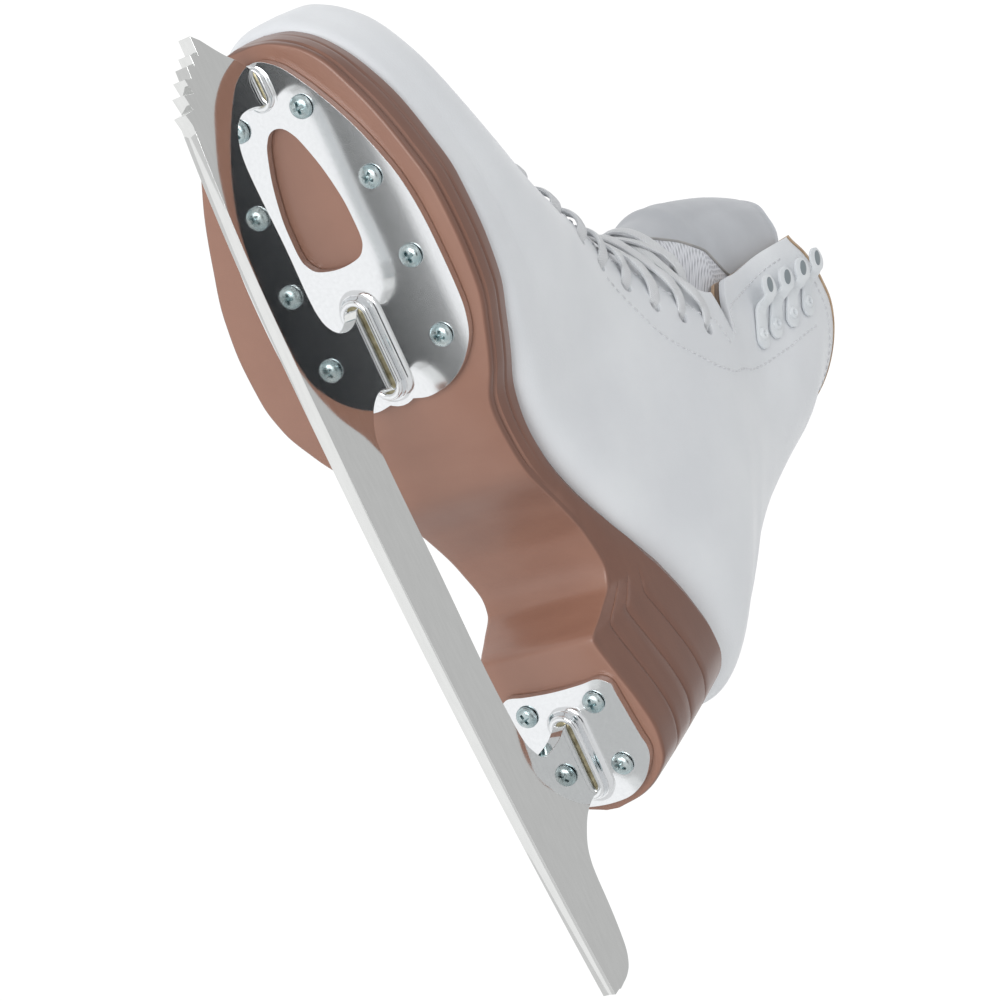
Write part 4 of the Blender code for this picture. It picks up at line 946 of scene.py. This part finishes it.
def make_tongue(looks):
    """The padded tongue: one crowned cushion from under the vamp to its arched top, bent at the ankle."""
    share = np.linspace(-1, 1, TONGUE_ACROSS + 1)
    keys = tongue_keys(share)
    front = np.stack([through(keys[:, k], 9) for k in range(len(share))], axis=1)
    count, wide = front.shape[:2]
    along = np.gradient(front, axis=0)
    normal = unit(np.cross(np.gradient(front, axis=1), along))
    run = np.arange(count) / (count - 1)
    ends = (np.clip((1 - run) * 14, 0, 1)**0.5 * np.clip(run * 14, 0, 1)**0.5)[:, None]
    height, off = front[:, TONGUE_ACROSS // 2, 2][:, None], np.abs(share)[None, :]
    body = np.sqrt(np.clip(1 - off**5, 0, 1)) * ends
    thick = (TONGUE_FOOT_THICKNESS + TONGUE_SWELL * np.clip((height - 178) / 25, 0, 1)) * body
    # wrinkles across the ankle and quilted channels up the middle
    fold = np.exp(-((height - WRINKLE_LEVEL) / WRINKLE_SPREAD)**2) * np.cos((height + 9 * off**2) * 0.55)
    channel = np.exp(-((off - CHANNEL_PLACE) / CHANNEL_WIDTH)**2) * np.clip((height - 172) / 18, 0, 1)
    swell = WRINKLE_DEPTH * fold * (1 - off**2) - CHANNEL_DEPTH * channel
    inner = front - normal * thick[..., None]
    middle = front - normal * (thick * 0.5)[..., None]
    rounding = np.sqrt(np.clip(1 - off**7, 0, 1)) * ends
    outer = middle + (front + normal * swell[..., None] - middle) * rounding[..., None]

    ids = np.arange(count * wide).reshape(count, wide)
    rim = [*ids[0], *ids[1:, -1], *ids[-1, -2::-1], *ids[-2:0:-1, 0]]
    faces = bands(count, wide, 0, False) + bands(count, wide, count * wide, False)
    faces += [[a, b, b + count * wide, a + count * wide] for a, b in zip(rim, rim[1:] + rim[:1])]
    mesh = mesh_from("tongue", np.concatenate([outer.reshape(-1, 3), inner.reshape(-1, 3)]), faces)
    # the side panels and the lengths across and along that their weave follows
    seam = 0.30 + (height - PANEL_FOOT) / 33.0 * 0.52
    store(mesh, "panel", 'FLOAT', np.tile(np.minimum(off - seam, (height - PANEL_FOOT) / 25).ravel(), 2))
    girth = np.array([reach_along(row) for row in front])
    length = np.cumsum(np.linalg.norm(along, axis=-1), axis=0)
    weave = np.stack([girth, length, 0 * girth], axis=-1).reshape(-1, 3)
    store(mesh, "weave", 'FLOAT_VECTOR', np.tile(weave, (2, 1)))
    nodes = ("tongue_lower", "tongue_upper")
    tongue = add_piece("padded_tongue", mesh, looks["tongue"], nodes, None, 60)
    bend(tongue)

    points, faces = [], []
    column = np.arange(wide)
    shown = [i for i in range(count) if height[i, 0] > PANEL_FOOT - 1 and seam[i, 0] < 0.9]
    for sign in (1, -1):
        route = [resample(np.interp(sign * seam[i, 0], share, column), column, outer[i] + normal[i] * 0.15)
                 for i in shown]
        join(points, faces, *tube(np.array(route), PIPING_RADIUS, 10))
    piping = mesh_from("tongue_piping", points, faces)
    bend(add_piece("tongue_piping", piping, looks["piping"], (), None, 60))


def bend(piece):
    """Bake a piece's placement into its own mesh."""
    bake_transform(piece)


def store(mesh, name, kind, values):
    """Keep a value for each vertex as a mesh attribute."""
    layer = mesh.attributes.new(name, kind, 'POINT')
    field = "vector" if kind == 'FLOAT_VECTOR' else "value"
    layer.data.foreach_set(field, np.asarray(values, np.float32).ravel())


def tube(path, radius, sides):
    """A round tube along a path, closed at its ends."""
    rings = []
    for spot, ahead in zip(path, unit(np.gradient(path, axis=0))):
        first = unit(np.cross((0.0, 0.0, 1.0), ahead))
        second = np.cross(ahead, first)
        rings.append([spot + first * x + second * y for x, y in circle(0, 0, radius, sides)])
    return loft(rings)


# ---- lace --------------------------------------------------------------------------------------------
LACE_HALF_WIDTH = 2.3
LACE_HALF_THICK = 0.75
LACE_SIDES = 14


def lace_route():
    """The lace's (row, degrees, depth) route from one tucked end to the other."""
    over, under = -1.5, LINING[0] + 1.65
    last = len(EYELETS) - 1

    def strand(k, middle, side, high):
        """Out of a hole, over the throat's edge and up to the crossing in the middle."""
        row, degrees = EYELETS[k]
        brim = row + (middle - row) * 0.68
        edge = float(read(THROAT_EDGE, brim))
        return [(row, side * (degrees - 0.6), 3.4), (row, side * (degrees - 1.4), 0.6),
                (row + (brim - row) * 0.3, side * (degrees + (edge - degrees) * 0.4), over),
                (brim, side * (edge + 1), over), (middle, 0, -2.6 if high else -1.0)]

    def leg(k, side, high):
        """From one hole to the next one on the other side."""
        middle = (ACROSS[k] + ACROSS[k + 1]) / 2
        row, degrees = EYELETS[k + 1]
        edge = float(read(THROAT_EDGE, row))
        spots = []
        for turn, depth in ((-15, 1.2), (-5, under)):
            share = (edge + turn) / degrees
            spots.append((middle + (row - middle) * share, -side * share * degrees, depth))
        return strand(k, middle, side, high) + spots + [(row, -side * degrees, under)]

    halves = []
    for start in (1, -1):
        spots, side = [], start
        for k in range(last):
            spots += leg(k, side, start > 0)
            side = -side
        tuck = [(10.9, -side * 44, 1.2), (11.5, -side * 58, under + 0.4), (12.2, -side * 70, under + 1.0)]
        halves.append(spots + strand(last, ACROSS[last] + 0.2, side, start > 0) + tuck)
    row, degrees = EYELETS[0]
    bar = [(row, degrees, under), (row, 24, 5.4), (row, 0, 2.0), (row, -24, 5.4), (row, -degrees, under)]
    return np.array(halves[0][::-1] + bar + halves[1])


def make_lace(look):
    """One flat braided lace that crosses over the tongue, woven as a mesh ribbon along the model's route."""
    row, degrees, depth = lace_route().T
    path = through(boot_point(row, degrees, depth), 14)
    lift = through(boot_normal(row, np.radians(degrees)), 14)
    even, reach = along_path(path, 0.7), reach_along(path)
    at = np.linspace(0, reach[-1], len(even))
    tangent = unit(np.gradient(even, axis=0))
    side = unit(np.cross(tangent, resample(at, reach, lift)))
    normal = np.cross(side, tangent)
    wide, thick = squarish(np.arange(LACE_SIDES) * 2 * PI / LACE_SIDES, 0.75)
    rings = (even[:, None, :] + side[:, None, :] * (wide * LACE_HALF_WIDTH)[None, :, None]
             + normal[:, None, :] * (thick * LACE_HALF_THICK)[None, :, None])
    points, faces = loft(rings)
    mesh = mesh_from("lace", points, faces)
    weave = np.stack([np.repeat(at, LACE_SIDES), np.tile(wide, len(even)), np.zeros(len(points))], axis=-1)
    store(mesh, "weave", 'FLOAT_VECTOR', weave)
    add_piece("flat_lace", mesh, look, ("lace",), smooth_angle=70)


# ---- hooks -------------------------------------------------------------------------------------------
# Lengths of the strip's round ends, its half widths and half thickness, and the height of the inset
HOOK_BASE, HOOK_HEAD = 3.1, 8.2
BASE_HALF, NECK_HALF, HEAD_HALF, STRIP_HALF = 3.1, 2.3, 3.8, 0.6
EYE_HEIGHT = 5.65


def hook_mesh(reach):
    """A stamped strip along +X that stands up and curls over into an oval head, in millimetres."""
    curl = ((-9.0, 0.8), (-7.0, 1.1), (-5.6, 2.0), (-4.9, 3.2), (-4.0, 4.4), (-2.2, 5.0), (1.0, 5.05),
            (4.0, 4.9))
    path = through([(-5.0, 0.75), (-2.0, 0.75)] + [(reach + x, z) for x, z in curl], 6)
    run = reach_along(path)
    head = run[-1] - HOOK_HEAD
    rings = []
    for (x, z), (tx, tz), at in zip(path, unit(np.gradient(path, axis=0)), run):
        if at < HOOK_BASE:
            half = BASE_HALF * math.sqrt(max(1 - (1 - at / HOOK_BASE)**2, 0.01))
        elif at > head:
            half = HEAD_HALF * math.sqrt(max(1 - (2 * (at - run[-1]) / HOOK_HEAD + 1)**2, 0.01))
            half = max(half, NECK_HALF) if at < run[-1] - HOOK_HEAD / 2 else half
        else:
            half = BASE_HALF - 0.9 * (at - HOOK_BASE) / (head - HOOK_BASE)
        rings.append([(x - tz * up * STRIP_HALF, y * half, z + tx * up * STRIP_HALF)
                      for y, up in zip(*squarish(np.arange(16) * PI / 8, 0.45))])
    points, faces = loft(rings)
    points = points.tolist()
    # the rivet's domed ring on the base, with its shank, and the oval inset on the head
    rivet = [(0.0, 1.35), (0.55, 1.35), (0.8, 1.8), (1.25, 2.05), (1.75, 1.95), (2.15, 1.6), (2.25, 1.2),
             (1.5, 1.0), (1.5, -3.4), (0.0, -3.4)]
    inset = [[(reach + 0.4 + 2.6 * x, 1.6 * y, EYE_HEIGHT + rise) for x, y in circle(0, 0, radius, 20)]
             for radius, rise in ((0.0, 0.16), (0.7, 0.15), (0.95, 0.1), (1.0, 0.05), (1.0, -0.3))]
    for shape in (spun(rivet, 20), inset):
        join(points, faces, *loft(shape, caps=False))
    mesh = welded(mesh_from("hook", points, faces), 0.01)
    store(mesh, "eye", 'FLOAT', [float(v.co.z > (EYE_HEIGHT + 0.04) * MM) for v in mesh.vertices])
    return mesh


def make_hooks(look):
    """Eight coated lace hooks, each over its own node of the model."""
    for side, label in ((1, "inner"), (-1, "outer")):
        for k, (base, head) in enumerate(HOOKS):
            foot, tip = (Vector(boot_point(row, side * degrees)) for row, degrees in (base, head))
            normal = Vector(boot_normal(base[0], side * math.radians(base[1])))
            along = ((tip - foot) - (tip - foot).dot(normal) * normal).normalized()
            turn = Matrix((along, normal.cross(along), normal)).transposed().to_4x4()
            mesh = hook_mesh((tip - foot).length)
            mesh.transform(Matrix.Translation(foot * MM) @ turn)
            add_piece(f"lace_hook_{label}_{k + 1}", mesh, look, (f"hook_{label}_{k + 1}",))


# ---- blade -------------------------------------------------------------------------------------------
def runner_height(x):
    """Height of the runner's edge: a round rocker in front, a longer one behind, flat at the contact."""
    reach = np.maximum(np.abs(x) - FLAT_SPOT, 0.0)
    return reach**2 / (2 * np.where(np.asarray(x) > 0, SPIN_ROCKER, REAR_ROCKER))


def make_blade(looks):
    """The mirror-bright blade, its ground edge band, and its hollow-ground runner."""
    teeth = [(86.8, 19.2), (81.4, 19.0), (82.7, 15.7), (79.7, 15.6), (80.5, 12.4), (77.2, 12.0),
             (77.9, 9.2), (73.7, 10.0), (74.6, 6.0), (70.3, 6.9), (70.1, 3.1)]
    tail = [(-196.4, 12.2), (-196.1, 14.5), (-195.6, 17.5), (-194.0, 20.4), (-190.4, 22.6), (-184.5, 23.7),
            (-176.7, 24.4), (-167.1, 24.8), (-162.5, 25.5), (-158.7, 27.1), (-155.3, 30.0), (-152.6, 33.3),
            (-151.0, 37.0), (HEEL_STANCHION[0], 41.5)]
    arch_back = [(HEEL_STANCHION[1], 41.5), (-129.7, 36.0), (-130.0, 29.5), (-129.4, 25.6), (-126.2, 22.9),
                 (-121.7, 20.7), (-114.0, 19.6), (-97.3, 18.5), (-70.0, 18.4), (-44.0, 17.8), (-30.7, 17.8),
                 (-26.6, 18.6), (-23.1, 20.7), (-20.0, 23.9), (-18.2, 28.3), (-18.9, 33.0),
                 (MIDDLE_STANCHION[0], 35.4)]
    arch_front = [(MIDDLE_STANCHION[1], 35.2), (1.4, 32.4), (0.4, 28.2), (1.4, 23.5), (3.9, 20.2),
                  (7.5, 18.2), (14.0, 17.4), (28.0, 17.7), (44.0, 17.2), (52.0, 17.4), (57.0, 18.7),
                  (60.5, 21.0), (62.8, 24.4), (63.4, 28.0), (63.2, 32.0), (TOE_STANCHION[0], 35.4)]
    nose = [(72.5, 37.5), (73.5, 36.2), (76.1, 33.2), (78.5, 29.7), (81.2, 26.4), (84.8, 22.4)]
    stations = np.linspace(RUNNER_FRONT, RUNNER_BACK, 106)
    edge = list(zip(stations, runner_height(stations)))
    taper = np.clip((RUNNER_FRONT - stations) / 6, 0, 1)
    band = [(x, z + GROUND_BAND * t) for (x, z), t in zip(edge, taper)]
    wall = teeth + band
    for curve, steps, span, plate in ((tail, 5, HEEL_STANCHION, HEEL_PLATE_Z),
                                      (arch_back, 5, MIDDLE_STANCHION, SOLE_PLATE_Z),
                                      (arch_front, 5, TOE_STANCHION, SOLE_PLATE_Z), (nose, 4, (), 0)):
        wall += [tuple(p) for p in through(curve, steps)] + [(x, plate - METAL_GAP) for x in span]
    count = len(wall)
    points = [(x, level, z) for level in (-BLADE_HALF, BLADE_HALF) for x, z in wall]
    faces, slots = [list(range(count)), [v + count for v in reversed(range(count))]], [0, 0]
    first, last = len(teeth), len(teeth) + len(band) - 1
    for k in range(count):
        if not first <= k < last:
            faces.append([k, (k + 1) % count, (k + 1) % count + count, k + count])
            slots.append(0)
    across = np.linspace(-BLADE_HALF, BLADE_HALF, 9)
    start, size = len(points), len(across)
    points += [(x, y, z + HOLLOW * (1 - (y / BLADE_HALF)**2)) for x, z in edge for y in across]
    for i in range(len(edge) - 1):
        for a in range(start + i * size, start + (i + 1) * size - 1):
            faces.append([a, a + 1, a + 1 + size, a + size])
            slots.append(2)
        for side, column in ((0, 0), (count, size - 1)):
            low, high = start + i * size + column, side + first + i
            faces.append([low, low + size, high + 1, high] if i else [low + size, high + 1, low])
            slots.append(1)
    end = start + (len(edge) - 1) * size
    faces.append([end + j for j in range(size)] + [count + last, last])
    slots.append(0)
    # the band starts from nothing behind the toe pick, so its first points are the runner's own corners
    corners = {first: start, count + first: start + size - 1}
    faces = [[corners.get(v, v) for v in face] for face in faces]
    a, b = corners.values()
    inside = list(range(a + 1, b))
    for face in faces:
        if len(face) == 4 and a in face and b in face:
            k = face.index(a)
            forward = face[(k + 1) % 4] == b
            face[:] = face[:k + 1] + inside + face[k + 1:] if forward else face[:k] + inside[::-1] + face[k:]
    mesh = worked(mesh_from("blade", points, faces, slots), bevel=0.28, segments=3, angle=55, crisp=True)
    metals = [looks["chrome"], looks["ground"], looks["satin"]]
    add_piece("skate_blade", mesh, metals, ("blade",), smooth_angle=None)


# ---- plates ------------------------------------------------------------------------------------------
SCREW_HOLE_RADIUS = 2.1
# Closed rings as (offset outwards from the stanchion, height over the plate), at the collar's full height
COLLAR = ((5.6, 0.05), (4.6, -0.05), (3.7, -0.35), (3.1, -0.95), (2.8, -1.8), (2.75, -2.6), (2.6, -3.1),
          (2.2, -3.5), (1.6, -3.6), (1.0, -3.4), (0.65, -3.0), (0.55, -2.3), (0.55, 0.4))
BRAZE = ((0.9, -2.0), (0.85, -2.9), (0.5, -3.15), (0.05, -3.55), (0.02, -2.0))


def mirrored(half_outline):
    """A closed outline from its +Y half, whose first and last points lie on the X axis."""
    return half_outline + [(x, -y) for x, y in reversed(half_outline) if y > 0.01]


def stadium(start, end, half, steps=14):
    """An outline with straight sides and round ends, along X."""
    points = []
    for centre, turn in ((end - half, -90), (start + half, 90)):
        for k in range(steps + 1):
            angle = math.radians(turn + 180 * k / steps)
            points.append((centre + half * math.cos(angle), half * math.sin(angle)))
    return points


def sheet_with_holes(outline, holes, low, high):
    """A flat sheet of metal with holes through it."""
    mesh = bpy.data.meshes.new("sheet")
    with opened(mesh) as sheet:
        for loop in [outline] + holes:
            corners = [sheet.verts.new((x * MM, y * MM, low * MM)) for x, y in loop]
            for k, corner in enumerate(corners):
                sheet.edges.new((corners[k - 1], corner))
        bmesh.ops.triangle_fill(sheet, use_beauty=True, use_dissolve=False, edges=sheet.edges[:])
        lifted = bmesh.ops.extrude_face_region(sheet, geom=sheet.faces[:])["geom"]
        bmesh.ops.translate(sheet, vec=(0, 0, (high - low) * MM),
                            verts=[v for v in lifted if isinstance(v, bmesh.types.BMVert)])
        bmesh.ops.recalc_face_normals(sheet, faces=sheet.faces)
    return mesh


def stanchion_ring(span, out, height):
    """The outline of a stanchion offset outwards; the low collar at the toe ends close to the plate's tip."""
    low = height < COLLAR_HEIGHT
    side, tip = (0.62 * out, 0.2 * out) if low else (out, out)
    return stadium(span[0] - side, span[1] + tip, BLADE_HALF + side)


def ring_mesh(name, profile, span, plate_z, height):
    """A closed ring round a stanchion: the collar pressed out of a plate, or the filler inside it."""
    profile = [(out, drop * (height / COLLAR_HEIGHT if drop < -0.1 else 1)) for out, drop in profile]
    rings = [[(x, y, plate_z + drop) for x, y in stanchion_ring(span, out, height)]
             for out, drop in (through(profile, 3) if name == "collar" else profile)]
    points, faces = loft(rings, caps=False)
    size, end = len(rings[0]), len(rings[0]) * (len(rings) - 1)
    faces += [[k, (k + 1) % size, end + (k + 1) % size, end + k] for k in range(size)]
    return mesh_from(name, points, faces)


def make_plates(looks):
    """The two bright plates with their screw holes, pressed collars and brazed joints."""
    sole_half = [(73.1, 0), (73.1, 4), (70.0, 9.2), (64.4, 13.8), (58.8, 17.5), (53.0, 20.8), (46.9, 23.8),
                 (39.3, 26.8), (31.9, 29.1), (22, 30.6), (10.4, 31.1), (-2, 31.0), (-7.9, 30.2),
                 (-13.2, 28.4), (-18, 24.9), (-21.4, 21.2), (-24, 16.6), (-25.3, 12.0), (-25.7, 8.0),
                 (-24.9, 3.5), (-24.6, 0)]
    drop_half = [(55.3, 0), (54.7, 2.2), (53, 3.9), (50, 5.6), (42, 8.3), (33, 10.1), (27, 10.5), (21, 10.4),
                 (18, 9.3), (15.8, 6.6), (14.8, 0)]
    heel_half = [(-119.5, 0), (-119.1, 9.4), (-118.5, 14.1), (-119, 16.4), (-121.0, 18.6), (-126.1, 19.4),
                 (-137.6, 20.7), (-141, 21.3), (-144.8, 20.6), (-149.9, 17.2), (-153.3, 13.2), (-155.6, 8.0),
                 (-156.4, 0)]
    for name, half, drops, spots, level, spans in (
            ("sole_plate", sole_half, [drop_half], SOLE_SCREWS, SOLE_PLATE_Z,
             (TOE_STANCHION, MIDDLE_STANCHION)),
            ("heel_plate", heel_half, [], HEEL_SCREWS, HEEL_PLATE_Z, (HEEL_STANCHION,))):
        outline = through(mirrored(half), 5, closed=True).tolist()
        holes = [through(mirrored(drop), 4, closed=True).tolist() for drop in drops]
        holes += [circle(x, s * y, SCREW_HOLE_RADIUS) for x, y in spots for s in (1, -1)]
        plate = sheet_with_holes(outline, holes, level, level + PLATE_THICKNESS)
        plate = worked(plate, bevel=0.5, segments=4, crisp=True)
        add_piece("bright_" + name, plate, looks["nickel"], (name,), smooth_angle=None)
        for k, span in enumerate(spans):
            height = TOE_COLLAR_HEIGHT if span is TOE_STANCHION else COLLAR_HEIGHT
            for kind, profile, look in (("collar", COLLAR, "nickel"), ("braze", BRAZE, "braze")):
                ring = ring_mesh(kind, profile, span, level, height)
                add_piece(f"{name}_{kind}_{k + 1}", ring, looks[look])


def make_screws(look):
    """Twelve pan-head screws with cross recesses, heads down on the plates."""
    profile = [(0.0, 0.0), (0.9, 0.03), (1.8, 0.16), (2.5, 0.42), (3.0, 0.85), (3.25, 1.35), (3.3, 1.7),
               (3.2, SCREW_HEAD_HEIGHT), (1.6, SCREW_HEAD_HEIGHT), (1.6, 9.3), (0.6, 10.8), (0.0, 10.8)]
    blank = welded(mesh_from("screw", *loft(spun(profile, 36), caps=False)), 0.01)
    # the cross, wide at the mouth and narrow at the bottom of the recess
    levels = [[(x, y, z) for x, y in ((arm, -half), (arm, half), (half, half), (half, arm), (-half, arm),
                                      (-half, half), (-arm, half), (-arm, -half), (-half, -half),
                                      (-half, -arm), (half, -arm), (half, -half))]
              for z, arm, half in ((-0.6, 2.35, 0.55), (1.25, 0.9, 0.3))]
    screw = worked(blank, [mesh_from("cross", *loft(levels))], bevel=0.08, crisp=True)
    for label, spots, level in (("sole", SOLE_SCREWS, SOLE_PLATE_Z), ("heel", HEEL_SCREWS, HEEL_PLATE_Z)):
        for k, (x, y, side) in enumerate([(x, s * y, s) for x, y in spots for s in (1, -1)]):
            mesh = screw.copy()
            spot = Vector((x, y, level - METAL_GAP - SCREW_HEAD_HEIGHT)) * MM
            mesh.transform(Matrix.Translation(spot) @ Matrix.Rotation(math.radians(20 * k * side), 4, 'Z'))
            add_piece(f"pan_screw_{label}_{k + 1}", mesh, look, (f"{label}_screw_{k + 1}",),
                      smooth_angle=None)


# ---- outsole -----------------------------------------------------------------------------------------
FORE_GROOVES = ((0.12, 1.0), (0.58, 0.35))
HEEL_LIFTS = (0.2, 0.42, 0.68)


def side_levels():
    """Shares of the side's height, close together where a groove runs."""
    shares = set(np.round(np.linspace(0, 1, 13), 4))
    for groove, _ in FORE_GROOVES:
        shares |= {groove + d for d in (-0.08, -0.04, 0.0, 0.04, 0.08)}
    for groove in HEEL_LIFTS:
        shares |= {groove + d for d in (-0.016, -0.009, 0.0, 0.009, 0.016)}
    return np.array(sorted(shares))


def groove_depth(x, share):
    """Depth of the welt grooves along the forefoot and of the lines between the heel's lifts."""
    fore = np.clip((x + 62) / 20, 0, 1)
    heel = np.clip((-100 - x) / 4, 0, 1)
    depth = 0.0
    for groove, deep in FORE_GROOVES:
        depth += deep * fore * np.clip(1 - np.abs(share - groove) / 0.08, 0, 1)
    for groove in HEEL_LIFTS:
        depth += 0.4 * heel * np.clip(1 - np.abs(share - groove) / 0.014, 0, 1)
    return depth


def make_outsole(look):
    """The brown sole and stacked heel, with welt grooves, lift lines and burnished edges."""
    levels = side_levels()
    rings = []
    for place_along in finer(np.arange(len(SOLE)), 6):
        x, bottom, top, in_low, in_top, out_low, out_top, lean = smooth_rows(SOLE, place_along)
        inset = min(3.0, (in_top - out_top) * 0.2)
        edge = min(SOLE_EDGE, (in_low - out_low) * 0.2)
        sides = []
        for low, high, sign in ((in_low, in_top, 1), (out_low, out_top, -1)):
            side = [(x, low - sign * edge * (1 - math.sin(turn)), bottom + SOLE_EDGE * (1 - math.cos(turn)))
                    for turn in np.radians((0, 22, 45, 68))]
            for share in levels:
                z = bottom + SOLE_EDGE + (top - bottom - SOLE_EDGE) * share
                bulge = 0.6 * math.sin(PI * share)
                y = low + (high - low) * share + sign * (bulge - groove_depth(x, share))
                side.append((x + lean * share, y, z))
            side.append((x + lean, high - sign * inset * 0.4, top + 0.6))
            side.append((x + lean, high - sign * inset, top + SOLE_RISE))
            sides.append(side)
        inner, outer = sides
        flat = [(x, y, bottom) for y in np.linspace(outer[0][1], inner[0][1], 9)[1:-1]]
        crown = [(x + lean, y, top + SOLE_RISE) for y in np.linspace(inner[-1][1], outer[-1][1], 7)[1:-1]]
        rings.append(inner + crown + outer[::-1] + flat)
    sole = worked(mesh_from("outsole", *loft(rings)), [last_mesh()])
    add_piece("stacked_sole", sole, look, ("outsole",), smooth_angle=42)


def last_mesh():
    """The boot's outside as a closed solid, a little larger all round, which shapes the top of the sole."""
    rows, degrees = (grid[:(SLIT_ROW + 4) * FINE] for grid in side_grid(0.0))
    rows, degrees = np.hstack([rows[:, ::-1], rows[:, 1:]]), np.hstack([-degrees[:, ::-1], degrees[:, 1:]])
    outside = boot_point(rows, degrees, -SOLE_GAP)
    return welded(mesh_from("last", *loft(outside[::2, ::2])), 0.005)


# ---- the whole skate ---------------------------------------------------------------------------------
def dress_hidden_layers(looks):
    """Give the model's own inner pieces their procedural materials."""
    for node, look in (("toe_puff", "board"), ("heel_counter", "board"), ("insole_board", "board"),
                       ("steel_shank", "satin")):
        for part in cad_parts[node].material_slots:
            part.material = looks[look]


def build():
    make_camera()
    make_stage()
    looks = {
        "leather": leather_look("boot_leather", (219, 222, 226), (228, 231, 234), 0.42),
        "lining": cloth_look("lining_cloth", (170, 140, 112), (198, 172, 142)),
        # painted shade: the dark brown of this look on the facings' cut edges stands in for the shadow
        # between the tongue and the cuff's front
        "edge": cloth_look("painted_shade_edge", (108, 90, 76), (130, 110, 93)),
        "piping": cloth_look("tongue_piping", (150, 150, 150), (170, 168, 166)),
        "board": board_look(),
        "foam": foam_look(),
        "sole": sole_look(),
        "chrome": polished_look("blade_chrome", (226, 227, 226), 0.05, (0.15, 1, 1)).material,
        "ground": ground_look("ground_band", (178, 174, 164), 0.42, (0.04, 1, 1)),
        "satin": ground_look("runner_satin", (222, 218, 206), 0.5, (0.04, 1, 1)),
        "nickel": polished_look("nickel_plate", (236, 238, 240), 0.13, spread=0.03).material,
        "braze": braze_look(),
        "zinc": zinc_look(),
        "coated": coated_look(),
        "lace": lace_look(),
        "tongue": tongue_look(),
        "thread": cloth_look("thread", (204, 206, 209), (220, 222, 225), 0.8),
    }
    make_lace(looks["lace"])
    make_blade(looks)
    make_plates(looks)
    make_screws(looks["zinc"])
    make_outsole(looks["sole"])
    make_boot_layers(looks)
    make_stitching(looks["thread"])
    make_tongue(looks)
    make_hooks(looks["coated"])
    dress_hidden_layers(looks)


build()
